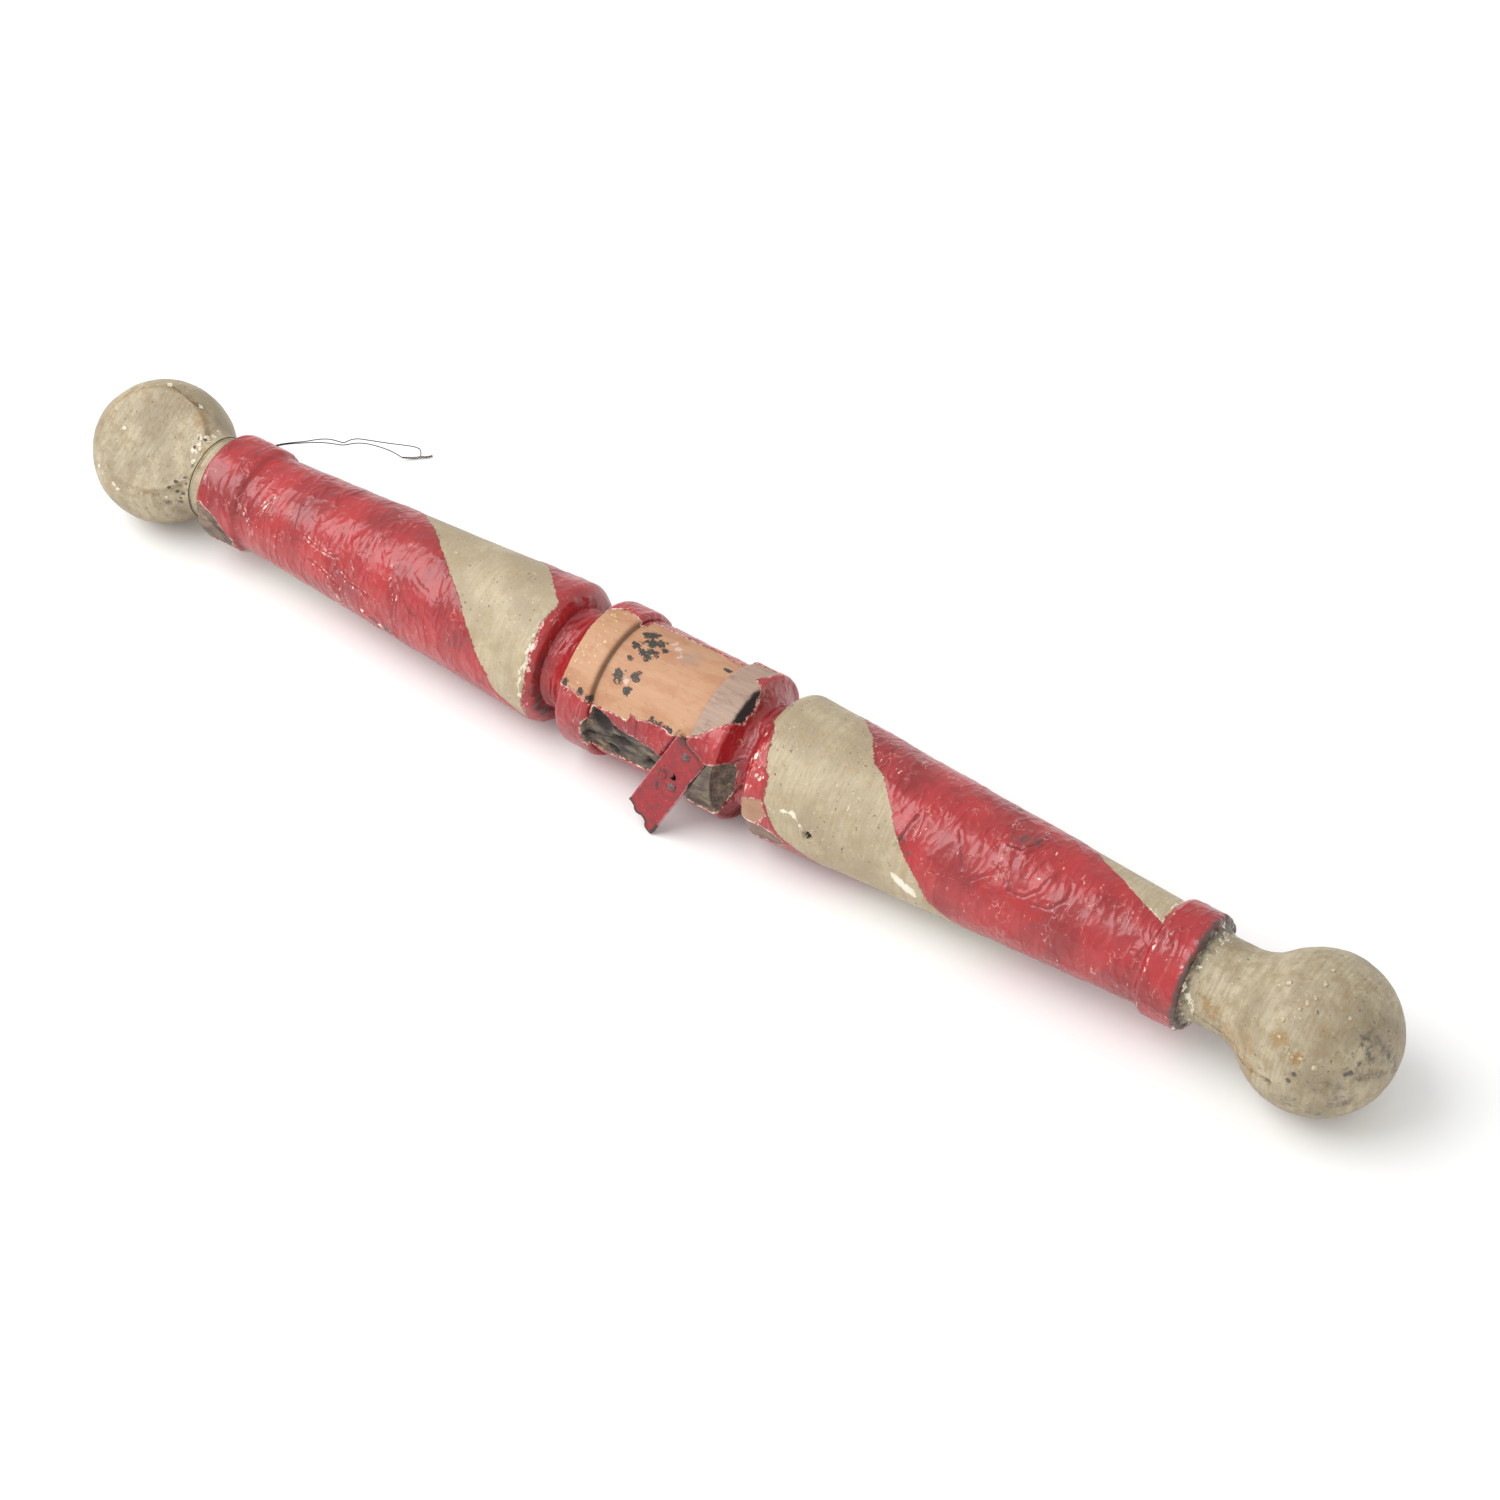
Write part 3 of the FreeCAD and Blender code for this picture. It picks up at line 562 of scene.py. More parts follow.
        # Dirt, and painted shade on faces turned from the light and on the balls' lower sides.
        paint = s.over(paint, self.grime_and_shade, s.ragged("grime_and_shade", blots, 2.6), 0.4, 1.2, 0.9)
        paint = self.worn_edges(s, paint, is_cream, bare)
        wood = self.bare_wood(s, grain, self.rotten_wood(s, lumps, fibre), is_fleck)
        colour = s.over(paint, wood, is_bare)

        glossy, matt = s.between(s.noise(6.0, 4.0), 0.22, 0.38), s.between(fine, 0.45, 0.62)
        dry = s.between("rot", 0.6, 0.85)
        roughness = s.between(is_bare, s.between(is_cream, glossy, matt), dry)

        folds = s.total(
            (s.ridge((15.0, 40.0, 40.0), 13.0, 1.0, 5.0), 0.6),
            (s.noise((13.0, 28.0, 28.0), 2.0, 0.45), 2.6),
            (s.ridge((9.0, 22.0, 22.0), 11.0, 1.0, 9.0), 0.36),
            (s.ridge(12.0, 13.0, 1.0, 57.0), 0.2),
        )
        slack = s.rise(s.noise(38.0, 2.0, shift=2.0), 0.36, 0.6, 0.45, 1.0)
        red_height = s.total((folds, slack), (fine, 0.06))
        cream_height = s.total((brushed, 0.45), (s.noise(2.4, 3.0, 0.6), 0.6))
        coat_height = s.between(is_cream, red_height, cream_height)
        paint_height = s.total((coat_height, 1.0), (is_cream, 0.15), start=0.5)
        sound_height = s.total((grain, 0.22), (is_fleck, 0.3))
        wood_height = s.between("rot", sound_height, s.total((lumps, 2.4), (fibre, -0.9)))
        return s.finish(colour, roughness, s.between(is_bare, paint_height, wood_height), 1.0, ior=1.62)


@dataclass(frozen=True)
class PaintedIron:
    """Wrought iron bar under brushed red paint, worn pale along its edges, dark where its foot has broken."""

    name: str = "red_painted_wrought_iron"
    red: str = "#8F1F27"
    red_bright: str = "#A02329"
    red_dull: str = "#6E2B2F"
    worn: str = "#B98A88"
    iron: str = "#3A332D"
    rust: str = "#5E4436"

    def build(self) -> bpy.types.Material:
        """Build the material, which reads the point values edge and iron."""
        s = Shade(self.name)
        fine, lumps = s.noise(0.9), s.noise(4.0, 4.0, 0.6)
        red = s.over(self.red, self.red_bright, lumps, 0.4, 0.65)
        red = s.over(red, self.red_dull, s.noise(6.0, 4.0, 0.7, 3.0), 0.45, 0.65, 0.75)
        red = s.over(red, self.worn, s.noise(1.6, 3.0, 0.6, 8.0), 0.66, 0.76, 0.7)
        red = s.over(red, self.worn, s.ragged("edge", lumps, 1.4), 0.4, 0.8, 0.75)
        is_iron = s.rise(s.ragged("iron", s.noise(2.0, 4.0, 0.65), 1.5), 0.45, 0.6)
        colour = s.over(red, s.over(self.iron, self.rust, fine, 0.4, 0.65), is_iron)
        roughness = s.between(is_iron, s.between(lumps, 0.3, 0.5), 0.75)
        return s.finish(colour, roughness, s.total((lumps, 0.6), (fine, 0.3)), 0.9)


@dataclass(frozen=True)
class PlainFinish:
    """A finish of two colours in patches: dulled old wire, a forged nail, a chip of old paint."""

    name: str
    dark: str
    light: str
    metallic: float
    patch_mm: float

    def build(self) -> bpy.types.Material:
        """Build the material."""
        s = Shade(self.name)
        patches = s.noise(self.patch_mm, 4.0, 0.65)
        colour = s.over(self.dark, self.light, patches, 0.38, 0.62)
        return s.finish(colour, s.between(patches, 0.38, 0.62), patches, 0.12, self.metallic)


@dataclass(frozen=True)
class PaperSweep:
    """Seamless white paper, matt, so the object's soft shadow is all that shows on it."""

    name: str = "white_paper_sweep"
    white: str = "#F6F6F5"
    fibre: str = "#EEEEEE"

    def build(self) -> bpy.types.Material:
        """Build the material."""
        s = Shade(self.name)
        fibres = s.noise(8.0, 2.0)
        return s.finish(s.over(self.white, self.fibre, fibres, 0.0, 1.0, 0.02), 0.9, fibres, 0.01)


# ---------------------------------------------------------------- turned pieces


@dataclass
class Grid:
    """Points of a turned surface: rows along its profile, columns round its axis, and a pole at each end."""

    rows: np.ndarray
    columns: int
    axis_y: float
    axis_z: float

    def __post_init__(self) -> None:
        """Lay out the points, their places on the surface and their outward directions."""
        profile = self.rows
        along = np.gradient(profile, axis=0)
        along /= np.maximum(np.linalg.norm(along, axis=1), 1e-9)[:, None]
        out = np.stack([-along[:, 1], along[:, 0]], axis=1)
        turn = np.linspace(0.0, 2.0 * np.pi, self.columns, endpoint=False)
        self.x = np.repeat(profile[:, 0], self.columns)
        self.radius = np.repeat(profile[:, 1], self.columns)
        self.turn = np.tile(np.degrees(turn), len(profile))
        cos, sin = (np.tile(f(turn), len(profile)) for f in (np.cos, np.sin))
        y, z = self.axis_y + self.radius * cos, self.axis_z + self.radius * sin
        self.points = np.stack([self.x, y, z], axis=1)
        out_x, out_r = (np.repeat(out[:, k], self.columns) for k in (0, 1))
        self.normal = np.stack([out_x, out_r * cos, out_r * sin], axis=1)
        self.offset = np.zeros(len(self.x))
        self.values: dict[str, np.ndarray] = {}

    def far(self, x: float, turn: float) -> np.ndarray:
        """Distance on the surface from a place given by X and turn."""
        gap = (self.turn - turn + HALF_TURN) % FULL_TURN - HALF_TURN
        return np.hypot(self.x - x, np.radians(gap) * np.maximum(self.radius, 5.0))

    def unrolled(self, corners: Sequence[PAIR], radius: float) -> tuple[np.ndarray, np.ndarray, list[PAIR]]:
        """The surface and some (X, turn) corners, unrolled: X, and millimetres round from their middle."""
        middle = float(np.mean([turn for _, turn in corners]))
        gap = (self.turn - middle + HALF_TURN) % FULL_TURN - HALF_TURN
        flat = [(x, math.radians(turn - middle) * radius) for x, turn in corners]
        return self.x, np.radians(gap) * radius, flat

    def inside(self, outline: Sequence[PAIR], radius: float) -> np.ndarray:
        """Signed distance to an outline of (X, turn) corners, positive inside."""
        return distance_to_outline(*self.unrolled(outline, radius))

    def beside(self, line: Sequence[PAIR], radius: float) -> np.ndarray:
        """Distance to a line of (X, turn) corners."""
        return distance_to_line(*self.unrolled(line, radius))

    def lift(self, key: str, level: float | np.ndarray) -> None:
        """Raise a kept value to a level where it is lower."""
        self.values[key] = np.maximum(self.values[key], level)

    def soft_spots(self, key: str, spots: Sequence[tuple[float, ...]], outer: float = 1.0) -> None:
        """Raise a kept value round (X, turn, size, level) spots with soft edges."""
        for x, turn, size, level in spots:
            self.lift(key, level * (1.0 - smooth(0.3 * size, outer * size, self.far(x, turn))))

    def sharp_spots(self, key: str, spots: Sequence[TRIPLE], peak: float, scale: float = 1.0) -> None:
        """Raise a kept value to a peak at (X, turn, size) spots, falling evenly to nothing round them."""
        for x, turn, size in spots:
            self.lift(key, peak - self.far(x, turn) / (scale * size))

    def mesh(self, name: str) -> bpy.types.Mesh:
        """Close the surface and make its mesh.

        Args:
            name: The mesh's name.

        Returns:
            The mesh, with the kept values on its points.
        """
        count, wide = len(self.rows), self.columns
        moved = self.points + self.normal * self.offset[:, None]
        ends = [[self.rows[i, 0], self.axis_y, self.axis_z] for i in (0, -1)]
        points = np.vstack([moved, ends])
        i, j = np.meshgrid(np.arange(count - 1), np.arange(wide), indexing="ij")
        a, b = i * wide + j, i * wide + (j + 1) % wide
        faces = np.stack([a, a + wide, b + wide, b], axis=-1).reshape(-1, 4)[:, ::-1].tolist()
        first, last = count * wide, count * wide + 1
        top = (count - 1) * wide
        faces += [[first, k, (k + 1) % wide] for k in range(wide)]
        faces += [[last, top + (k + 1) % wide, top + k] for k in range(wide)]
        values = {}
        for key, value in self.values.items():
            values[key] = np.append(value, [value[:wide].mean(), value[-wide:].mean()])
        return mesh_of(name, points, faces, values)


def sampled(profile: Sequence[PAIR], spacing: float) -> np.ndarray:
    """Divide a profile's runs evenly and keep its corners.

    Args:
        profile: Corners as (X, radius).
        spacing: Wanted distance between points in millimetres.

    Returns:
        The points, one row each.
    """
    points = [np.asarray(profile[0], float)]
    for start, end in zip(profile, profile[1:]):
        start, end = np.asarray(start, float), np.asarray(end, float)
        steps = max(1, round(float(np.linalg.norm(end - start)) / spacing))
        points += [start + (end - start) * k / steps for k in range(1, steps + 1)]
    kept = [points[0]]
    for point in points[1:]:
        if np.linalg.norm(point - kept[-1]) > 0.05:
            kept.append(point)
    return np.array(kept)


@dataclass
class Places:
    """Stations along the pole and its axis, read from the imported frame, in millimetres."""

    axis_y: float = 0.0
    axis_z: float = 0.0
    left_ball: float = 0.0
    left_collar: float = 0.0
    left_rim: float = 0.0
    right_rim: float = 0.0
    right_collar: float = 0.0
    right_ball: float = 0.0
    ball_radius: float = 0.0
    hanger_pivot: tuple[float, float, float] = (0.0, 0.0, 0.0)

    @classmethod
    def read(cls) -> "Places":
        """Take the stations from the CAD boxes and the record's joint."""
        low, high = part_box("left_ball")
        radius = (high.z - low.z) / 2 / MM
        pivot = tuple(value / MM for value in frame["joints"][0]["pos_m"])
        left_shaft, right_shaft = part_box("left_shaft"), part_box("right_shaft")
        return cls(
            axis_y=pivot[1],
            axis_z=pivot[2],
            left_ball=low.x / MM + radius,
            left_collar=left_shaft[0].x / MM,
            left_rim=left_shaft[1].x / MM,
            right_rim=right_shaft[0].x / MM,
            right_collar=right_shaft[1].x / MM,
            right_ball=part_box("right_ball")[1].x / MM - radius,
            ball_radius=radius,
            hanger_pivot=pivot,
        )


def helix_band(grid: Grid, left: Sequence[PAIR], right: Sequence[PAIR]) -> np.ndarray:
    """Signed distance to a painted stripe that winds round the pole, positive inside.

    Args:
        grid: The surface.
        left: Its left-hand edge as (turn, X), with turns that may pass a full turn.
        right: Its right-hand edge.

    Returns:
        The distance of each point in millimetres.
    """
    best = np.full(len(grid.x), -60.0)
    for lap in (-1, 0, 1):
        turn = grid.turn + lap * FULL_TURN
        known = (turn >= left[0][0]) & (turn <= left[-1][0])
        edge_left = np.interp(turn, *zip(*left))
        edge_right = np.interp(turn, *zip(*right))
        gap = np.minimum(grid.x - edge_left, edge_right - grid.x) * 0.75
        best = np.where(known, np.maximum(best, gap), best)
    return best


# Deep folds of the red skin as ((X, turn) line, depth), in millimetres and degrees round the axis.
RIGHT_FOLDS = (
    (((173.7, 149), (176.1, 135), (178.4, 118)), 1.3),
    (((204.6, 113), (211.1, 126), (216.8, 142)), 0.9),
    (((234.4, 104), (242, 102), (247.3, 91), (250, 78)), 1.1),
    (((246.3, 104), (250.3, 95), (252.1, 79)), 0.8),
    (((232.2, 125), (240.4, 130), (248.6, 139)), 0.8),
    (((247, 141), (257.6, 140), (264.6, 128), (266.5, 112)), 0.9),
    (((263, 143), (274.3, 140), (281.8, 124), (280, 110)), 0.8),
    (((295.3, 101), (298.9, 120), (305.7, 127)), 0.5),
    (((332, 146), (335.4, 130), (337, 112)), 0.8),
    (((224, 148), (232.8, 136)), 0.6),
    (((200.3, 155), (209.2, 152), (224.9, 152)), 0.5),
)
LEFT_FOLDS = (
    (((-341.6, 147), (-337, 155), (-332.4, 160)), 0.7),
    (((-327.6, 158), (-326.6, 136), (-322.8, 120)), 0.6),
    (((-287.3, 142), (-278.5, 146), (-264.5, 148), (-255.5, 145)), 0.7),
    (((-279.7, 162), (-267.6, 166), (-257.6, 171), (-251.8, 175)), 0.7),
    (((-257.1, 156), (-244.4, 164), (-232.7, 165), (-222.9, 168)), 0.8),
    (((-208.7, 137), (-201.1, 149), (-191.6, 158), (-187.6, 160)), 0.7),
    (((-198.9, 127), (-191.5, 133), (-182.8, 136)), 0.5),
    (((-205.9, 180), (-205.6, 154), (-212, 141)), 0.5),
    (((-219, 130), (-233.5, 107), (-232, 90)), 0.5),
    (((-262, 178), (-255, 187), (-252, 196)), 0.5),
    (((-232, 190), (-222, 196), (-208, 199)), 1),
)
# Bits of paint that stand off the surface, as (X, turn).
RIGHT_BLISTERS = (
    (436.9, 62), (437.2, 85), (438.8, 97), (438.8, 110), (435.9, 116), (433.7, 121), (427.6, 132),
    (429.7, 143), (436.7, 147), (441.2, 152), (445.6, 151), (454.2, 153), (459.9, 110), (419.4, 107),
)
LEFT_CHIPS = (
    (-440.4, 71), (-414, 67), (-398.4, 112), (-401, 93), (-397.1, 85), (-397.8, 61), (-395.3, 123),
    (-396.4, 104), (-439, 175), (-436, 179), (-451, 172), (-399.8, 99), (-396.5, 76), (-404, 178),
)
LEFT_FLAKES = (
    (-402.5, 165), (-398.6, 171), (-395.6, 149), (-395.7, 173), (-399.8, 157), (-397.7, 188), (-400.4, 96),
    (-397.5, 89), (-399.6, 107), (-393.8, 158), (-397.2, 181),
)
RING_CHIPS = (
    (-66, 92), (-62.5, 96), (-58, 88), (-61, 104), (-66.5, 112), (-57.5, 118), (-61.8, 124), (-64.5, 131),
    (-59.2, 100), (-53.5, 96), (-66.8, 101), (-55.8, 128), (-67.4, 122), (-63.3, 84),
)


class TurnedPiece:
    """A turned wooden piece: its surface, the wear on it and its finish."""

    KEPT = (
        "cream", "bare", "grey", "rot", "pit", "stain_and_shade", "grime_and_shade", "crease", "fleck", "blush", "chips", "pale",
    )
    NOWHERE = 20.0
    columns = 256
    spacing = 1.1

    def __init__(self, name: str, node: str, places: Places, seed: int) -> None:
        """Keep what the piece is called, where it is and the noise of its wear."""
        self.name = name
        self.node = node
        self.places = places
        self.noise = Noise(seed)

    def profile(self) -> list[PAIR]:
        """Corners of the profile as (X, radius), from left to right."""
        raise NotImplementedError

    def wear(self, grid: Grid) -> None:
        """Shape the surface and set the values that the finish reads."""
        raise NotImplementedError

    def build(self, finish: bpy.types.Material, slot: str) -> bpy.types.Object:
        """Build the piece and put it on the pole.

        Args:
            finish: Its material.
            slot: The record's material slot.

        Returns:
            The finished piece.
        """
        grid = Grid(sampled(self.profile(), self.spacing), self.columns, self.places.axis_y, self.places.axis_z)
        for key in self.KEPT:
            grid.values[key] = np.zeros(len(grid.x))
        grid.values["bare"] -= self.NOWHERE
        self.wear(grid)
        self.grid = grid
        return declare(new_object(self.name, grid.mesh(self.name), finish), Body.POLE, slot, self.node)

    def spots(self, marks: Sequence[PAIR]) -> tuple[np.ndarray, np.ndarray]:
        """Points of the finished surface nearest to (X, turn) marks, with their outward directions."""
        nearest = [int(np.argmin(self.grid.far(x, turn))) for x, turn in marks]
        moved = self.grid.points + self.grid.normal * self.grid.offset[:, None]
        return moved[nearest], self.grid.normal[nearest]

    def crease(self, grid: Grid, line: Sequence[PAIR], radius: float, width: float, depth: float) -> None:
        """Press a crack or a sharp fold into the paint along a line."""
        gap = grid.beside(line, radius) + 0.25 * self.noise.at(grid.points, 3.0, 2)
        grid.offset -= depth * (1.0 - smooth(0.0, width, gap))
        grid.offset += 0.45 * depth * hump(gap - 1.7 * width, width)
        # Deeper creases are painted darker.
        darkening = min(1.0, 0.25 + 0.75 * max(0.0, depth - 0.6) / 0.6)
        grid.lift("crease", darkening * (1.0 - smooth(0.2 * width, width, gap)))

    def wrinkle(self, grid: Grid, red: np.ndarray, strength: float) -> None:
        """Fold the thick red skin.

        Args:
            grid: The surface.
            red: How much of the skin is red at each point, 0 to 1.
            strength: Height of the folds in millimetres.
        """
        points = grid.points
        slack = smooth(-0.5, 0.7, self.noise.at(points + 37.0, 46.0, 2))
        arcs = fold_lines(self.noise, points, (8.5, 22.0, 22.0), 3.2)
        creases = fold_lines(self.noise, points + 211.0, (19.0, 30.0, 30.0), 4.5)
        swell = self.noise.at(points, 17.0, 2)
        grid.offset += red * strength * (0.75 * arcs * (0.25 + slack) + 0.8 * creases + 0.7 * swell)

    def settle(self, grid: Grid) -> None:
        """Give the wood the slight unevenness of hand turning and age."""
        grid.offset += 0.3 * self.noise.at(grid.points + 53.0, 60.0, 2)
        grid.offset += 0.05 * self.noise.at(grid.points + 11.0, 2.5, 2)

    def pit(self, grid: Grid, x: float, turn: float, radius: float, depth: float) -> np.ndarray:
        """Sink a hole or a dent and give its share at each point."""
        share = 1.0 - smooth(0.55 * radius, 1.15 * radius, grid.far(x, turn))
        grid.offset -= depth * share
        return share
        return share


class PairedPiece(TurnedPiece):
    """A turned piece that the pole has on its left and its right."""

    def __init__(self, kind: str, side: Side, places: Places, seed: int) -> None:
        """Keep which side it is on."""
        label = side.name.lower()
        super().__init__(f"{label}_{kind}_painted", f"{label}_{kind}", places, seed)
        self.side = side

    def placed(self, run: Sequence[PAIR], start: float) -> list[PAIR]:
        """Put a profile at its start, running inwards from the left or, mirrored, from the right."""
        points = [(start - self.side.value * x, r) for x, r in run]
        return points if self.side is Side.LEFT else points[::-1]


# Edges of the cream stripe on each shaft as (turn, X), left-hand edge first.
LEFT_STRIPE = (
    (
        (-150, -372), (-90, -340), (0, -270), (64, -219.8), (91, -196.3), (110, -178.3), (120, -169.3),
        (129, -159.3), (146, -147.3), (163, -135.3), (177, -127.3), (191, -120.3), (204, -107), (214, -96),
    ),
    (
        (-150, -372), (-120, -300), (-90, -252), (0, -178), (64, -124), (80, -112), (96, -99), (112, -97.5),
        (150, -97.5), (180, -98), (196, -99), (214, -101),
    ),
)
RIGHT_STRIPE = (
    (
        (-20, 60), (100, 66.0), (112, 74), (130, 78), (144, 83), (160, 85), (172, 90), (190, 96), (200, 108),
        (428, 289.8), (443, 308.8), (453, 324.8), (462, 336),
    ),
    (
        (-20, 62), (0, 76), (60, 115.8), (96, 137.8), (101, 145.8), (119, 160.3), (133, 167.8), (147, 176.3),
        (158, 184.3), (169, 191.8), (190, 199.8), (199, 208.8), (270, 256), (390, 337), (462, 337),
    ),
)


class Shaft(PairedPiece):
    """A tapered shaft with its collar and its spiral stripe."""

    thick: float = 47.6
    thin: float = 32.4
    collar_radius: float = 36.2
    rim_round: float = 9.0
    collar_round: float = 3.0

    def __init__(self, side: Side, collar_width: float, places: Places, seed: int) -> None:
        """Keep how wide its collar is."""
        super().__init__("shaft", side, places, seed)
        self.collar_width = collar_width

    def profile(self) -> list[PAIR]:
        """Collar, hollow beside it, taper and rounded thick end."""
        at = self.places
        face, rim = (at.left_collar, at.left_rim) if self.side is Side.LEFT else (at.right_collar, at.right_rim)
        c, big, wide = self.collar_round, self.rim_round, self.collar_width
        run = [(0.0, 0.5), (0.0, self.collar_radius - c)]
        for t in np.linspace(0.2, 1.5, 6):
            run.append((c - c * math.cos(t), self.collar_radius - c + c * math.sin(t)))
        run += [(wide - c, self.collar_radius), (wide - 1.0, self.collar_radius - 1.0), (wide, self.thin + 1.4)]
        run += [(wide + 1.6, self.thin + 0.35), (wide + 3.0, self.thin + 0.15)]
        length = abs(rim - face)
        edge_x = length - big
        edge_r = self.thin + (self.thick - self.thin) / (length - wide) * (edge_x - wide)
        run += [(edge_x, edge_r)]
        for t in np.linspace(0.15, 1.57, 9):
            run.append((edge_x + big * math.sin(t), edge_r - big + big * math.cos(t)))
        run += [(length, 0.5)]
        return self.placed(run, face)

    def wear(self, grid: Grid) -> None:
        """Stripe, folds, collar wear and the marks of each shaft."""
        self.settle(grid)
        stripe = LEFT_STRIPE if self.side is Side.LEFT else RIGHT_STRIPE
        cream = helix_band(grid, *stripe) + 1.3 * self.noise.at(grid.points, 14.0, 3)
        grid.values["cream"] = cream
        red = smooth(1.0, -1.0, cream)
        self.wrinkle(grid, red, 0.42)
        grid.offset += 0.22 * red
        if self.side is Side.LEFT:
            self.left_marks(grid)
        else:
            self.right_marks(grid)

    def left_marks(self, grid: Grid) -> None:
        """Flaked collar, worn rim with painted shade on its end face, and folds, some with a painted highlight
        line.
        """
        values, noise, points = grid.values, self.noise, grid.points
        flaked = ((-379.5, 170), (-375, 160), (-368, 166), (-360, 174), (-349, 190), (-349, 214), (-379.5, 220))
        gap = grid.inside(flaked, 36.0) + 0.8 * noise.at(points, 5.0, 3)
        grid.lift("bare", gap)
        values["grey"] = np.where(gap > -3.0, 0.55, values["grey"])
        values["rot"] = np.where(gap > -3.0, 0.7 + 0.3 * smooth(-0.2, 0.5, noise.at(points, 9.0, 2)), 0.0)
        grid.offset -= 0.7 * smooth(-0.4, 0.8, gap)
        rim = smooth(-104.0, -99.0, grid.x) * smooth(-92.0, -96.0, grid.x)
        values["pale"] = 0.4 * rim * smooth(90.0, 110.0, grid.turn) * smooth(215.0, 190.0, grid.turn)
        for line, depth in LEFT_FOLDS:
            self.crease(grid, line, 38.0, 1.0, depth)
            # Pale lines beside the lower folds: painted highlight on the folds' lips.
            if line[0][1] > 140.0:
                grid.lift("pale", 0.5 * hump(grid.beside(line, 38.0) - 1.4, 0.8))
        grid.soft_spots("grime_and_shade", ((-225.8, 196, 7, 0.85), (-212.1, 197, 8, 0.85), (-199.9, 200, 7, 0.85)))
        # Darker on the rim's end face, most towards the front: painted shade on a face turned from the light.
        face = smooth(-94.5, -92.6, grid.x) * (0.4 + 0.6 * smooth(90.0, 170.0, grid.turn))
        grid.lift("grime_and_shade", 0.9 * face)

    def right_marks(self, grid: Grid) -> None:
        """Flaked thick end with painted highlight streaks, nail hole with painted shade in it, folds, a ridge with
        a painted highlight along it, and collar of the right shaft.
        """
        values, noise, points = grid.values, self.noise, grid.points
        # Pale streaks on the red of the thick end: painted highlight.
        painted_highlight_area = smooth(64.0, 67.0, grid.x) * smooth(96.0, 84.0, grid.x)
        painted_highlight_area *= smooth(92.0, 112.0, grid.turn) * smooth(215.0, 195.0, grid.turn)
        values["pale"] = 0.32 * painted_highlight_area * smooth(4.0, -6.0, values["cream"])
        gap = grid.inside(((72, 168), (83.4, 163), (87.4, 175), (80, 187), (68, 188), (68, 170)), 45.0)
        lower = grid.inside(((66, 190), (84, 189), (98, 196), (100, 206), (66, 214)), 45.0)
        values["grey"] = np.where(lower > gap, 0.9, 0.25)
        values["rot"] = np.where(lower > gap, 0.5, 0.15)
        gap = np.maximum(gap, lower)
        grid.lift("bare", gap)
        grid.offset -= 0.9 * smooth(-0.4, 0.8, gap)
        low_chip = ((70, 188.5), (82, 189.5), (93, 190.5))
        for chip in (low_chip, ((98, 164), (105, 162), (109.5, 166.5), (113.5, 171.5))):
            grid.lift("pale", 0.78 - grid.beside(chip, 46.0) / 2.6)
        white = ((175.5, 174), (181, 177), (188.5, 182), (192, 190), (185, 188), (179, 181))
        grid.lift("pale", 0.85 + 0.3 * np.clip(grid.inside(white, 42.0), -2.5, 2.0))
        # The empty nail hole is painted near-black: painted shade inside the hole.
        hole = self.pit(grid, 117.2, 176.5, 2.9, 5.0)
        values["bare"] = np.where(hole > 0.15, 3.0, values["bare"])
        values["rot"] = np.where(hole > 0.15, 1.0, values["rot"])
        for key in ("crease", "pit"):
            grid.lift(key, hole)
        for line, depth in RIGHT_FOLDS:
            self.crease(grid, line, 42.0, 1.0, depth)
        grid.lift("stain_and_shade", 0.5 * hump(grid.far(125.0, 193.0), 22.0))
        darkening = ((241, 92, 9, 0.85), (247, 88, 7, 0.75), (235, 96, 6, 0.7))
        grid.soft_spots("grime_and_shade", (*darkening, (182.6, 150, 4, 1.0), (176, 141, 3, 0.9)))
        ridge = grid.beside(((341, 194), (341.4, 161), (340.3, 132), (340, 85)), 34.0)
        grid.offset += 0.6 * hump(ridge, 1.0)
        torn = hump(values["cream"] - 0.8, 1.3) * smooth(268.0, 290.0, grid.x) * smooth(135.0, 115.0, grid.turn)
        grid.lift("pale", 0.5 * torn)
        # Pale line along the ridge: painted highlight on its crest.
        grid.lift("pale", 0.47 - ridge / 2.0)
        grid.lift("pale", 1.0 - grid.far(360.2, 132.0) / 1.8)
        collar = self.places.right_collar
        face = smooth(collar - 5.0, collar - 1.0, grid.x + 0.8 * noise.at(points, 6.0, 2))
        grid.lift("grime_and_shade", 1.1 * face)
        grid.lift("pale", 0.16 * face)
        grid.offset += face * 0.7 * noise.at(points + 3.0, 4.0, 3)
        self.pit(grid, 347.75, 180.0, 3.4, 0.35)


# Outlines on the drum as (X, turn): the bare wood, the rot, and the torn skin beside the cove.
BARE_EDGE = (
    (-69.5, 150.8), (-62, 151), (-55, 153), (-45, 156), (-38, 156), (-29, 156), (-20, 155), (-18, 149.5),
    (-11, 150), (-4, 147), (3, 148), (12, 150), (17, 149), (24, 144.5), (28, 142), (31.5, 141), (32.5, 137),
    (36, 133), (42, 127), (45, 123), (48.5, 116), (49.5, 107), (49.7, 95), (47.7, 86), (46, 82), (41, 78),
    (45, 66), (45, 52), (30, 50), (15, 58), (0, 56), (-15, 58), (-26, 60), (-43, 62), (-45, 76), (-53, 74),
    (-60, 70), (-63, 74), (-69.5, 86),
)
ROT_EDGE = (
    (-44.5, 157.5), (-47, 168), (-49.5, 176), (-50, 190), (-47, 200), (-38, 206), (-26, 202), (-14, 202),
    (-2, 199), (6, 190), (8, 176), (2, 170), (-6, 171), (-12, 168), (-24, 168), (-29, 164.5), (-34, 161),
    (-39, 159),
)
TORN_EDGE = (
    (26, 160), (36, 158), (44, 157), (52, 153), (56, 160), (57, 178), (54, 190), (50, 204), (44, 207),
    (28, 203),
)
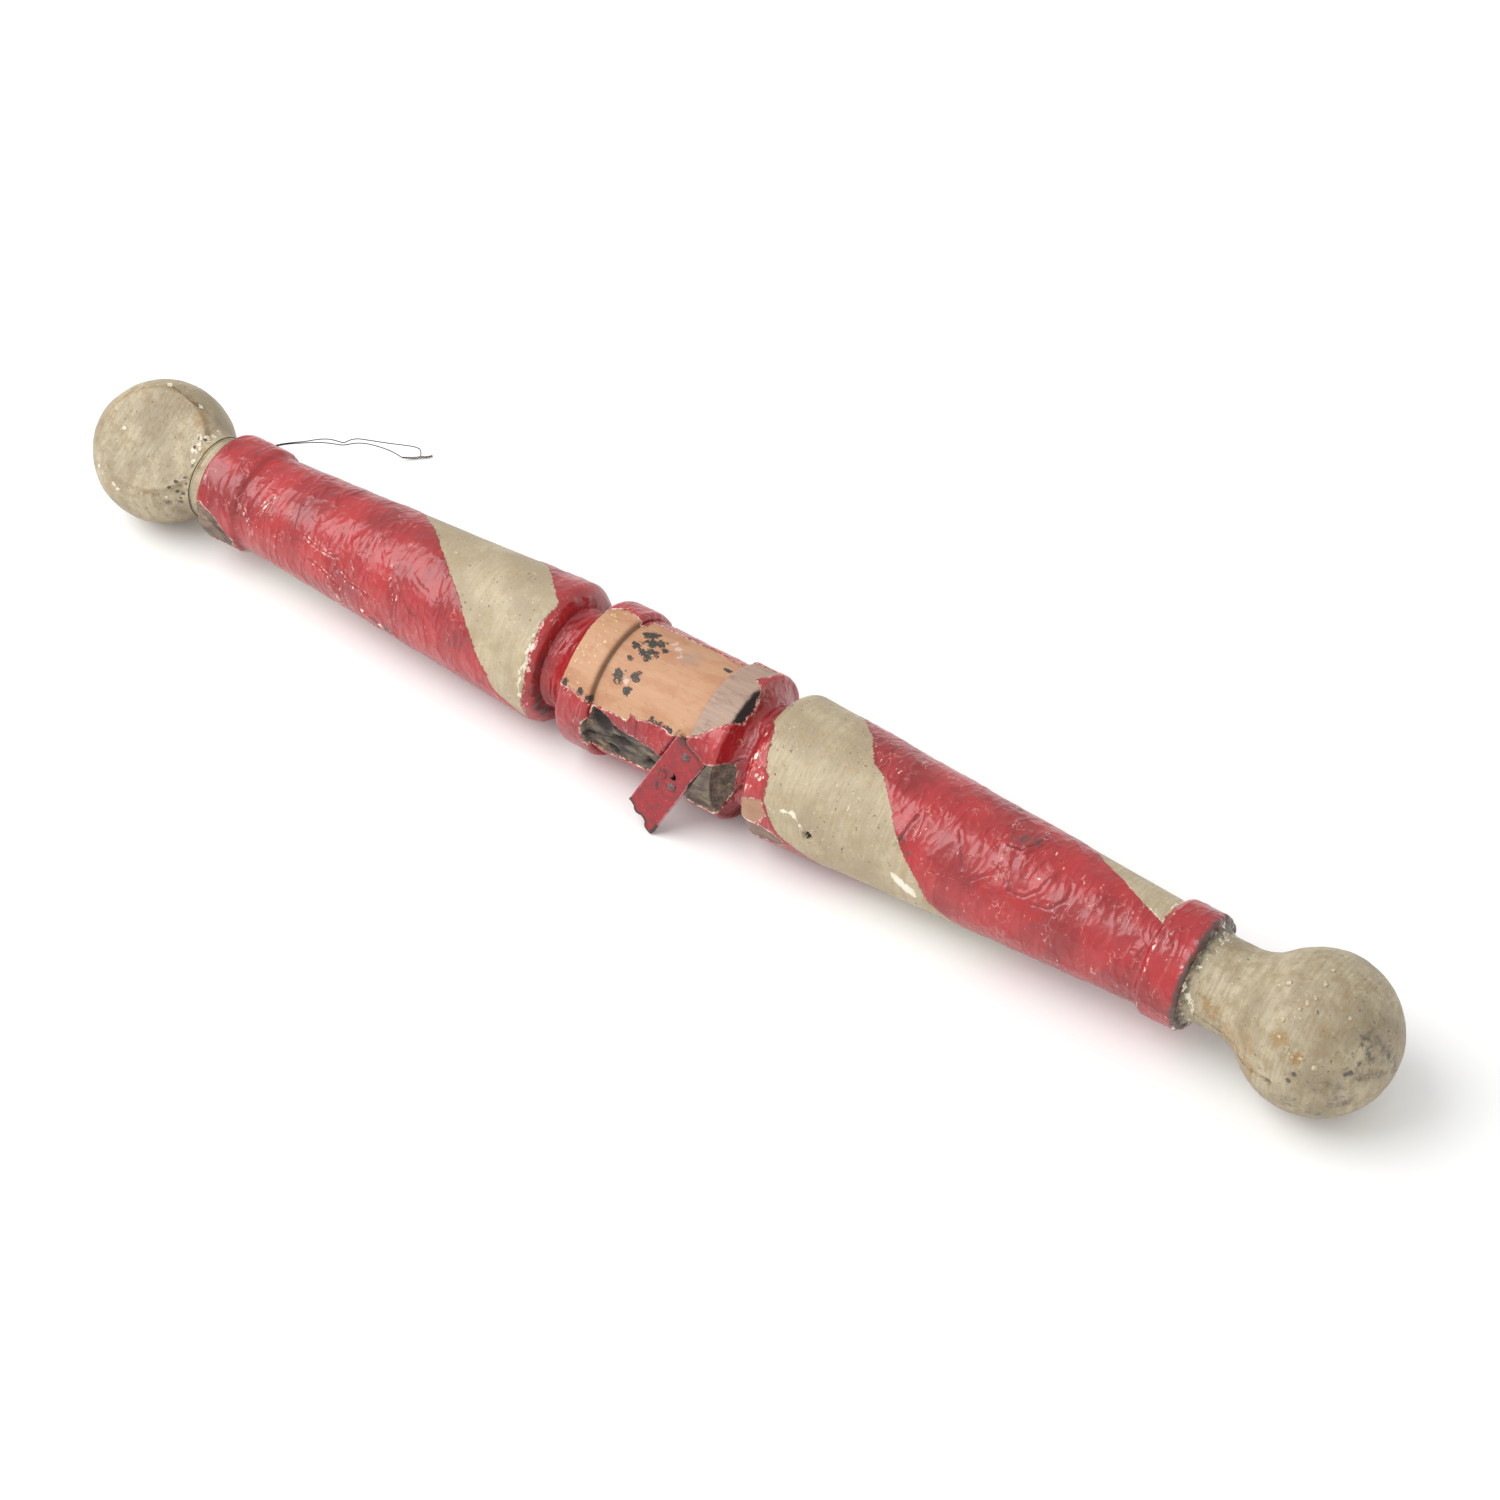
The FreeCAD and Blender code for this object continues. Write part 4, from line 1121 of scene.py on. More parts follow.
# Flecks of the oldest paint and pinkish blushes on the drum's wood, as (X, turn, size).
FLECKS = (
    (-35, 80, 5), (-31, 88, 4), (-28, 98, 5.5), (-26, 83, 4), (-38, 95, 3), (-20, 88, 2.5), (-36, 109, 2),
    (-35, 126, 4.5), (-25, 120, 3.2), (-26, 134, 3), (4.5, 149, 4), (10, 149, 2.5), (-3, 147, 2.5),
    (20, 75, 2.6), (-66, 149, 2.5), (-54, 151, 2.8), (-48, 153, 2.5),
)
BLUSHES = ((-30, 128, 3.2), (-15, 80, 4), (-20, 76, 3), (-10, 86, 3.5))


class Drum(TurnedPiece):
    """The centre drum: barrel, two rings and two coves, with the paint torn off most of what faces up."""

    columns = 296
    spacing = 0.95
    barrel: float = 43.5
    ring: float = 47.5
    ring_width: float = 21.5
    left_cove: float = 23.0
    right_cove: float = 19.0
    cove_top: float = 44.0
    cove_foot: float = 34.0
    inset: float = 1.2

    def __init__(self, strap: "WallStrap", places: Places, seed: int) -> None:
        """Keep the strap, which leaves its mark on the paint."""
        super().__init__("centre_drum_painted", "centre_drum", places, seed)
        self.strap = strap

    def profile(self) -> list[PAIR]:
        """Cove, ring, barrel, ring and cove."""
        left, right = self.places.left_rim, self.places.right_rim
        left_ring, right_ring = left + self.left_cove, right - self.right_cove
        top, barrel, wide = self.ring, self.barrel, self.ring_width
        ring = [(0.0, self.cove_top), (0.0, top - 1.6), (0.5, top - 0.4), (1.7, top), (wide - 1.7, top)]
        ring += [(wide - 0.4, top - 0.5), (wide, top - 1.6), (wide, barrel + 0.4), (wide + 0.5, barrel)]
        run = [(left - self.inset, 0.5), (left - self.inset, self.cove_foot)]
        run += self.cove(left, self.cove_foot, left_ring, self.cove_top)
        run += [(left_ring + x, r) for x, r in ring]
        run += [(right_ring - x, r) for x, r in reversed(ring)]
        run += self.cove(right_ring, self.cove_top, right, self.cove_foot)
        return run + [(right + self.inset, self.cove_foot), (right + self.inset, 0.5)]

    @staticmethod
    def cove(x0: float, r0: float, x1: float, r1: float) -> list[PAIR]:
        """A hollow curve between two points, 6.5 mm below its chord."""
        length = math.hypot(x1 - x0, r1 - r0)
        side = ((r1 - r0) / length, -(x1 - x0) / length)
        points = []
        for t in np.linspace(0.0, 1.0, 14)[1:-1]:
            dip = 6.5 * 4.0 * t * (1.0 - t)
            points.append((x0 + (x1 - x0) * t + side[0] * dip, r0 + (r1 - r0) * t + side[1] * dip))
        return points

    def wear(self, grid: Grid) -> None:
        """Bare wood, rot, the torn skin and its folds, flecks of old paint and the strap's marks."""
        self.settle(grid)
        grid.values["cream"] -= self.NOWHERE
        rot, torn = self.bare(grid)
        self.skin(grid, rot, torn)
        self.flap(grid)
        self.wood_marks(grid)
        self.strap_print(grid)
        self.cracks(grid)
        self.seat(grid)

    def bare(self, grid: Grid) -> tuple[np.ndarray, np.ndarray]:
        """Mark the bare wood, and give how far inside the rot and the torn skin each point is."""
        values, noise, points = grid.values, self.noise, grid.points
        bare = grid.inside(BARE_EDGE, 45.0) + 0.9 * noise.at(points, 6.0, 3)
        rot = grid.inside(ROT_EDGE, 44.0) + 0.8 * noise.at(points + 31.0, 6.0, 3)
        torn = grid.inside(TORN_EDGE, 44.0) + 0.6 * noise.at(points + 77.0, 7.0, 2)
        values["bare"] = np.maximum.reduce([bare, rot, torn])
        values["rot"] = np.maximum(smooth(-1.0, 0.5, rot), 0.85 * smooth(-1.0, 0.5, torn))
        values["grey"] = np.maximum(smooth(24.5, 26.5, grid.x), smooth(-1.0, 0.5, torn))
        return rot, torn

    def skin(self, grid: Grid, rot: np.ndarray, torn: np.ndarray) -> None:
        """Raise the folded skin, sink the rot with its pits and curl the skin's lip."""
        values, noise, points = grid.values, self.noise, grid.points
        skin = smooth(0.4, -0.4, values["bare"])
        self.wrinkle(grid, skin, 0.34)
        grid.offset += 0.75 * skin
        pits = smooth(-0.1, 0.8, noise.at(points + 19.0, (13.0, 7.0, 7.0), 4))
        main_pit = np.maximum(1.0 - grid.far(-36.0, 172.0) / 9.0, 1.0 - grid.far(-42.0, 163.0) / 6.0)
        pits = np.clip(np.maximum(pits, 1.2 * main_pit), 0.0, 1.0)
        # The pits are painted darker where they sink: dark rot, with painted shade in the hollows.
        values["pit"] = pits * smooth(-0.3, 1.5, rot)
        grid.offset -= smooth(-0.3, 2.5, rot) * (1.0 + 3.6 * pits)
        grid.offset -= smooth(-0.3, 2.0, torn) * (1.4 + 0.7 * noise.at(points, (14.0, 3.0, 3.0), 3))
        grid.offset += 0.35 * hump(values["bare"] + 1.3, 1.1) * (0.4 + noise.at(points + 5.0, 7.0, 2))

    def flap(self, grid: Grid) -> None:
        """The lifted flap of skin over the right ring, and the folds beside it."""
        away = np.hypot((grid.x - 60.5) / 9.5, (grid.turn - 192.0) / 17.0)
        grid.offset += 3.6 * np.exp(-(away**2.4)) * (1.0 + 0.25 * self.noise.at(grid.points, 8.0, 2))
        self.crease(grid, ((50, 205), (52, 198), (55.5, 188), (61, 176), (66, 168)), 42.0, 1.2, 1.6)
        self.crease(grid, ((52.3, 154), (57.3, 146.5), (63.3, 142.5), (65.5, 147)), 38.0, 0.9, 0.9)
        self.crease(grid, ((48, 128), (58, 134), (62, 133)), 38.0, 0.8, 0.35)

    def wood_marks(self, grid: Grid) -> None:
        """Flecks, chips on the left ring, the dirty edge of the right ring, blushes and a grey patch."""
        grid.sharp_spots("fleck", FLECKS, 1.05, 1.7)
        on_ring = smooth(-70.0, -68.0, grid.x) * smooth(-48.0, -50.0, grid.x)
        chips = 0.3 * on_ring * smooth(62.0, 80.0, grid.turn) * smooth(156.0, 140.0, grid.turn)
        grid.values["chips"] = chips
        edge = smooth(46.6, 47.8, grid.x + 0.6 * self.noise.at(grid.points, 5.0, 2))
        edge = edge * smooth(80.0, 86.0, grid.turn) * smooth(130.0, 122.0, grid.turn)
        grid.lift("rot", edge)
        grid.lift("pit", 0.7 * edge)
        grid.sharp_spots("blush", BLUSHES, 1.0, 1.5)
        grid.lift("grey", 0.75 * hump(grid.far(-4.4, 84.0), 7.0))

    def cracks(self, grid: Grid) -> None:
        """A short crack in the wood, painted shade along the groove beside the left ring, and the dirt above it.
        """
        self.crease(grid, ((7.7, 104), (9, 110), (11, 114), (13.6, 119)), 43.5, 0.5, 0.25)
        # Darker along the step beside the left ring: painted shade.
        groove = hump(grid.x + 47.0, 1.1) * smooth(52.0, 60.0, grid.turn) * smooth(160.0, 152.0, grid.turn)
        grid.lift("crease", 0.9 * groove)
        dark = ((-46, 64), (-40, 60), (-32, 64), (-26, 67), (-30, 56), (-45, 50))
        grid.lift("grime_and_shade", 0.8 * smooth(-1.0, 1.0, grid.inside(dark, 45.0)))

    def seat(self, grid: Grid) -> None:
        """Sink the surface under the strap's back, so the strap lies in the drum's flat seat."""
        moved = grid.points + grid.normal * grid.offset[:, None]
        across, up, out = self.strap.local(moved).T
        width, height = self.strap.width, self.strap.height
        beside = np.maximum(np.abs(across + width / 2 - 0.9) - width / 2, np.abs(up - height / 2) - height / 2)
        near = (out < 12.0) * (grid.points[:, 1] < grid.axis_y)
        over = np.maximum(out + 0.35, 0.0) * smooth(1.3, 0.2, beside) * near
        grid.points = grid.points - self.strap.outward() * over[:, None]

    def strap_print(self, grid: Grid) -> None:
        """Dirt and painted shade along the strap's upper part, the fold above it and the painted shadow in its
        screw hole.
        """
        across, up, out = self.strap.local(grid.points).T
        width, height = self.strap.width, self.strap.height
        aside = np.maximum(np.abs(across + width / 2) - width / 2, 0.0)
        gap = np.hypot(aside, np.maximum(np.abs(up - height / 2) - height / 2, 0.0))
        gap = np.where((np.abs(out) < 7.0) & (gap > 0.0), gap, 99.0)
        # Dark line along the strap's upper part: dirt and painted shade in the gap.
        grid.lift("crease", 0.85 * hump(gap, 1.1) * smooth(40.0, 50.0, up))
        fold = hump(up - height - 3.4, 1.5) * smooth(-29.0, -24.0, across) * smooth(4.0, 0.0, across)
        grid.offset += 1.1 * fold * (np.abs(out) < 7.0)
        hole = self.strap.hole
        # Near-black in the screw hole: painted shadow.
        deep = 1.0 - smooth(3.0, 4.5, np.hypot(across - hole[0], up - hole[1]))
        deep *= np.abs(out) < 9.0
        grid.lift("crease", deep)
        grid.offset -= 1.5 * deep


# Marks on the balls: chips as (X, turn, size), and flakes, stains and dirt as (X, turn, size, level).
LEFT_PALE = (
    (-440.4, 71, 2.6), (-414, 67, 2.6), (-398.4, 112, 3.4), (-401, 93, 2.4), (-397.1, 85, 3.2),
    (-397.8, 61, 2.6), (-395.3, 123, 2.6), (-455.9, 168, 2.0), (-450.8, 172, 1.8), (-439, 175, 2.4),
    (-436, 179, 2.4), (-444.7, 126, 2.0), (-399, 100, 2.6), (-396.5, 74, 2.4),
)
LEFT_DARK = (
    (-402.5, 165, 2.4), (-398.6, 171, 3.0), (-395.6, 149, 3.0), (-395.7, 173, 3.0), (-399.8, 157, 2.4),
    (-397.7, 188, 3.0), (-395.2, 129, 2.4), (-399.6, 107, 2.0), (-398.5, 80, 1.8), (-404, 186, 4.0),
    (-392, 165, 2.6),
)
LEFT_STAINS = ((-408, 85, 8, 0.75), (-460.7, 116, 11, 0.5), (-470, 150, 14, 0.5), (-445, 186, 16, 0.55))
RIGHT_DIRT = (
    (476, 117, 15, 0.75), (475, 87, 11, 0.55), (465, 169, 12, 0.6), (477, 146, 13, 0.7),
    (484, 114, 10, 0.7), (468, 139, 9, 0.55), (445, 191, 11, 0.65), (459, 202, 11, 0.65),
    (471, 184, 11, 0.7), (443, 170, 2.8, 1.3), (445.2, 163, 2.4, 1.3), (430, 200, 9, 0.5),
    (425, 215, 10, 0.5), (471.6, 150, 2.4, 1.2), (470, 152, 2.2, 1.1),
)
RIGHT_STAINS = (
    (430.4, 145, 9, 0.95), (443.8, 151, 7, 0.95), (418, 182, 10, 0.9), (382.6, 165, 12, 0.8),
    (377, 155, 9, 0.7), (400, 185, 16, 0.85), (412, 165, 14, 0.6), (450, 130, 18, 0.45), (420, 90, 15, 0.4),
    (455, 100, 10, 0.45),
)
RIGHT_CRACK = ((372, 182), (378.4, 186), (386.2, 190), (400, 190), (418, 184), (433, 178))


class EndBall(PairedPiece):
    """A ball end with its neck."""

    spacing = 0.95
    neck: float = 28.3
    flat_turn: float = -60.0
    flat_rise: float = 54.5
    flat_height: float = 35.0

    def __init__(self, side: Side, neck_round: float, places: Places, seed: int) -> None:
        """Keep how wide the hollow between ball and neck is."""
        super().__init__("ball", side, places, seed)
        self.neck_round = neck_round

    def profile(self) -> list[PAIR]:
        """Ball, rounded hollow, neck and, on the right, the crust that flares at its collar."""
        at = self.places
        big, small, fillet = at.ball_radius, self.neck, self.neck_round
        reach = math.sqrt((big + fillet) ** 2 - (small + fillet) ** 2)
        meet = math.atan2(small + fillet, reach)
        run = [(big * math.cos(t), big * math.sin(t)) for t in np.linspace(math.pi - 0.011, meet, 120)]
        for t in np.linspace(meet, math.pi / 2, 16)[1:]:
            run.append((reach - fillet * math.cos(t), small + fillet - fillet * math.sin(t)))
        if self.side is Side.LEFT:
            centre, face = at.left_ball, at.left_collar
            crust, end = (), (1.2, 0.0)
        else:
            centre, face = at.right_ball, at.right_collar
            crust, end = ((-7.0, 0.2), (-4.0, 1.2), (-1.6, 3.0), (-0.4, 5.2)), (0.3, 5.6)
        length = abs(face - centre)
        run += [(length + x, small + r) for x, r in (*crust, end)]
        return self.placed(run + [(length + end[0], 0.5)], centre)

    def wear(self, grid: Grid) -> None:
        """Matt cream paint with lumps, stains and chips, with painted shade darkening it towards the bottom."""
        noise, points = self.noise, grid.points
        grid.values["cream"] += self.NOWHERE
        grid.offset += 0.5 * noise.at(points, 26.0, 3) - 0.75
        grid.offset += 0.12 * noise.at(points, 4.0, 3)
        if self.side is Side.LEFT:
            self.flatten(grid)
            self.left_marks(grid)
        else:
            self.right_marks(grid)
        # Stain and grime raised towards the bottom: painted shade on the underside.
        low = smooth(52.0, 6.0, points[:, 2])
        grid.lift("stain_and_shade", 0.45 * low)
        grid.lift("grime_and_shade", 0.34 * low)

    def flatten(self, grid: Grid) -> None:
        """Cut the flat on the left ball, with its raised ring, brown stain round it and the groove outside it
        darkened.
        """
        at = self.places
        turn, rise = math.radians(self.flat_turn), math.radians(self.flat_rise)
        normal = np.array([math.cos(rise) * math.cos(turn), math.cos(rise) * math.sin(turn), math.sin(rise)])
        rel = grid.points - np.array([at.left_ball, at.axis_y, at.axis_z])
        height = rel @ normal
        across = np.linalg.norm(rel - height[:, None] * normal, axis=1)
        over = np.maximum(height - self.flat_height, 0.0) * smooth(37.5, 34.5, across)
        grid.points = grid.points - normal * over[:, None]
        flat = smooth(35.6, 33.0, across) * (height > 20.0)
        grid.offset *= 1.0 - 0.6 * flat
        down = (rel @ np.array([0.0, -0.6, -0.8])) / np.maximum(across, 1.0)
        grid.offset += hump(across - 35.2, 1.3) * (height > 20.0) * (0.35 + 0.9 * smooth(-0.1, 0.6, down))
        outside = hump(across - 38.0, 2.6) * (height > 10.0)
        grid.offset -= 0.6 * outside
        upper = 1.0 - smooth(-0.3, 0.3, down)
        grid.lift("stain_and_shade", (0.45 + 0.45 * upper) * hump(across - 36.6, 3.0) * (height > 10.0))
        # The groove outside the ring is painted darker.
        grid.lift("grime_and_shade", 0.42 * outside)

    def left_marks(self, grid: Grid) -> None:
        """The crack, chips, flakes and stains of the left ball, and painted shade on its lower front."""
        self.dark_crease(grid, ((-441, 71), (-431.8, 73), (-419.2, 74), (-412.6, 69)), 46.0, 2.4, 0.8)
        grid.sharp_spots("pale", LEFT_PALE, 1.1)
        grid.sharp_spots("grime_and_shade", LEFT_DARK, 1.15)
        grid.soft_spots("stain_and_shade", LEFT_STAINS)
        # Darker on the lower front: painted shade.
        grid.lift("grime_and_shade", 0.4 * smooth(165.0, 195.0, grid.turn) * smooth(260.0, 230.0, grid.turn))

    def dark_crease(self, grid: Grid, line: Sequence[PAIR], radius: float, width: float, level: float) -> None:
        """A crack whose edges are stained dark brown."""
        self.crease(grid, line, radius, 0.4 * width, 0.6)
        grid.lift("grime_and_shade", level * (1.0 - smooth(0.3 * width, width, grid.beside(line, radius))))

    def right_marks(self, grid: Grid) -> None:
        """Stains and dark patches of the right ball, the crack under its neck and the crust at its collar."""
        noise, points = self.noise, grid.points
        grid.soft_spots("grime_and_shade", RIGHT_DIRT, 1.1)
        grid.soft_spots("stain_and_shade", RIGHT_STAINS)
        self.dark_crease(grid, RIGHT_CRACK, 38.0, 2.2, 0.75)
        reach = grid.x - self.places.right_collar + 2.5 * noise.at(points, 7.0, 3)
        grid.lift("grime_and_shade", 0.95 * smooth(8.0, 2.0, reach))
        grid.lift("pale", 0.3 * smooth(13.0, 6.0, reach))
        grid.offset += 0.8 * smooth(12.0, 3.0, reach) * noise.at(points + 5.0, 5.0, 3)


# ---------------------------------------------------------------- strap, nails and wires


@dataclass
class WallStrap:
    """The broken flat iron strap nailed to the drum."""

    lean: float = 15.7
    slant: float = 24.0
    thick: float = 2.5
    width: float = 25.4
    height: float = 74.5
    hole: PAIR = (-10.5, 47.5)
    front_nail: PAIR = (-7.3, 40.8)
    upper_nail: PAIR = (-11.5, 66.0)
    burr: PAIR = (-13.0, 45.2)
    outline: tuple[PAIR, ...] = (
        (0.6, 0.3), (1.2, 4), (1.1, 12), (1, 22), (1.2, 32), (1.1, 40), (0.9, 47), (-0.2, 51.5), (0.5, 57),
        (1.1, 63), (1, 70), (0.9, 74), (-5, 74.4), (-12, 74), (-18, 74.4), (-23.9, 74.2), (-24.2, 66),
        (-24, 55), (-24.2, 42), (-24, 30), (-24.2, 20), (-23.9, 11), (-24, 7.5), (-22, 7.4), (-20.4, 6.9),
        (-19, 6.4), (-17.6, 4.6), (-15.5, 3.8), (-13.6, 4.2), (-11.7, 5.2), (-9.4, 5), (-7.4, 3.9),
        (-6.4, 2.2), (-5.5, 0.9), (-3, 0.2), (-1, 0.05),
    )

    def __post_init__(self) -> None:
        """Find the strap's tip from the place of its hole in the record."""
        mount = next(m for m in frame["record"]["mounts"] if m["name"] == "strap_hole")
        self.tip = np.zeros(3)
        self.tip = np.array(mount["pos_m"]) / MM - self.at(np.array([[*self.hole, self.thick / 2]]))[0]

    def at(self, local: np.ndarray) -> np.ndarray:
        """Places in the row frame of points given as across, up and out from the tip."""
        lean, slant = math.radians(self.lean), math.radians(self.slant)
        across, up, out = local.T
        along = across * math.cos(slant) + up * math.sin(slant)
        rise = up * math.cos(slant) - across * math.sin(slant)
        back, aloft = math.cos(lean), math.sin(lean)
        return self.tip + np.stack([along, rise * aloft - out * back, rise * back + out * aloft], axis=1)

    def local(self, points: np.ndarray) -> np.ndarray:
        """Places across, up and out from the tip of points in the row frame."""
        origin, *ends = self.at(np.array([[0.0, 0.0, 0.0], [1.0, 0.0, 0.0], [0.0, 1.0, 0.0], [0.0, 0.0, 1.0]]))
        return (points - origin) @ (np.array(ends) - origin).T

    def outward(self) -> np.ndarray:
        """The direction that the strap faces."""
        return self.at(np.array([[0.0, 0.0, 1.0]]))[0] - self.at(np.zeros((1, 3)))[0]

    def crescent(self) -> list[PAIR]:
        """The opening that is left of the screw hole beside the pushed-up burr."""
        (a, b), r = self.hole, 2.7
        b -= 0.6
        outer = np.radians(np.linspace(-110.0, 120.0, 17))
        inner = np.radians(np.linspace(100.0, -95.0, 13))
        edge = [(a + r * math.cos(t), b + r * math.sin(t)) for t in outer]
        return edge + [(a - 1.3 + 1.3 * math.cos(t), b + 2.3 * math.sin(t)) for t in inner]

    def build(self, finish: bpy.types.Material) -> bpy.types.Object:
        """Build the strap: a plate with its hole, its burr and a broken foot.

        Args:
            finish: Its material.

        Returns:
            The finished strap.
        """
        noise = Noise(71)
        rim: list[PAIR] = []
        for (a0, b0), (a1, b1) in zip(self.outline, self.outline[1:] + self.outline[:1]):
            steps = max(1, round(math.hypot(a1 - a0, b1 - b0) / 0.7))
            rim += [(a0 + (a1 - a0) * k / steps, b0 + (b1 - b0) * k / steps) for k in range(steps)]
        opening = self.crescent()
        grid_a, grid_b = np.meshgrid(np.arange(-24.4, 1.6, 0.62), np.arange(0.0, 75.0, 0.62))
        a, b = grid_a.ravel(), grid_b.ravel()
        kept = (distance_to_outline(a, b, rim) > 0.4) & (distance_to_outline(a, b, opening) < -0.3)
        flat = rim + opening + list(zip(a[kept].tolist(), b[kept].tolist()))
        loops = [(k, (k + 1) % len(rim)) for k in range(len(rim))]
        first = len(rim)
        loops += [(first + k, first + (k + 1) % len(opening)) for k in range(len(opening))]
        verts, _, faces, *_ = delaunay_2d_cdt([Vector(p) for p in flat], loops, [], 0, 1e-5)
        plane = np.array([(v.x, v.y) for v in verts])
        middle = plane[np.array(faces)].mean(axis=1)
        a, b = middle.T
        inside = (distance_to_outline(a, b, rim) > 0) & (distance_to_outline(a, b, opening) < 0)
        faces = [tuple(f) for f, good in zip(faces, inside) if good]
        return self.solid(noise, plane, faces, rim, opening, finish)

    def solid(
        self,
        noise: Noise,
        plane: np.ndarray,
        faces: list[tuple[int, ...]],
        rim: list[PAIR],
        opening: list[PAIR],
        finish: bpy.types.Material,
    ) -> bpy.types.Object:
        """Give the flat net of triangles its thickness, dents and wear."""
        a, b = plane.T
        spot = np.stack([a, b, np.zeros(len(a))], axis=1)
        to_rim = distance_to_outline(a, b, rim)
        to_hole = -distance_to_outline(a, b, opening)
        dish = np.hypot(a - self.burr[0], b - self.burr[1])
        disc = np.hypot(a + 16.6, b - 42.3)
        groove = distance_to_line(a, b, ((-16.0, 35.0), (-14.6, 32.5), (-13.2, 30.6)))
        weld = distance_to_line(a, b, ((-22.0, 70.5), (-14.0, 69.5), (-6.0, 70.8), (0.0, 68.0)))
        top = self.thick - 0.55 + 0.16 * noise.at(spot, 7.0, 3)
        top += 0.55 * hump(dish - 5.6, 1.2) - 0.5 * np.exp(-((dish / 4.5) ** 4))
        top += 0.6 * smooth(2.9, 2.2, disc) - 0.35 * smooth(1.5, 0.6, disc)
        top += 0.45 * hump(weld, 0.8) - 0.45 * hump(groove, 0.7)
        top += 0.35 * hump(np.hypot(a + 10.4, b - 38.9) - 1.1, 0.45)
        top -= 0.5 * (1.0 - smooth(0.0, 0.9, to_rim)) + 0.35 * (1.0 - smooth(0.0, 0.6, to_hole))
        under = 0.05 + 0.5 * (1.0 - smooth(0.0, 0.6, to_rim))
        upper, lower = (self.at(np.stack([a, b, out], axis=1)) for out in (np.minimum(top, self.thick), under))

        foot = smooth(5.5, 1.0, np.minimum(to_rim, 99.0)) * smooth(13.0, 8.0, b)
        edge = 1.0 - smooth(0.2, 1.4, to_rim)
        streak = distance_to_line(a, b, ((-21.0, 73.5), (-12.0, 72.6), (-3.0, 72.8)))
        iron = np.maximum.reduce([
            0.9 * foot * (to_rim < 2.2),
            0.95 * (1.0 - smooth(0.6, 1.8, streak)),
            0.9 * (1.0 - smooth(0.0, 0.5, to_hole)),
            0.75 * (1.0 - smooth(0.3, 1.0, groove)),
            0.6 * (1.0 - smooth(1.0, 2.6, np.hypot(a + 10.0, b - 66.0))),
            0.8 * hump(disc - 2.9, 0.6),
            0.75 * hump(dish - 6.8, 0.8) * smooth(2.0, -4.0, a + b - 34.0),
        ])
        values = {
            "edge": np.concatenate([0.9 * edge, 0.3 * edge]),
            "iron": np.concatenate([iron, np.maximum(iron, 0.45)]),
        }
        closed = self.closed(faces, len(a))
        mesh = mesh_of("wall_strap_painted", np.vstack([upper, lower]), closed, values)
        piece = new_object("wall_strap_painted", mesh, finish)
        return declare(piece, Body.POLE, "painted_iron", "wall_strap")

    @staticmethod
    def closed(faces: list[tuple[int, ...]], count: int) -> list[list[int]]:
        """Front faces, back faces with corners numbered on by a count, and the walls between their edges."""
        sides = {(p, q) for face in faces for p, q in zip(face, face[1:] + face[:1])}
        closed = [list(f) for f in faces] + [[v + count for v in reversed(f)] for f in faces]
        return closed + [[q, p, p + count, q + count] for p, q in sorted(sides) if (q, p) not in sides]


GEOMETRY = "NodeSocketGeometry"
FLOAT = "NodeSocketFloat"


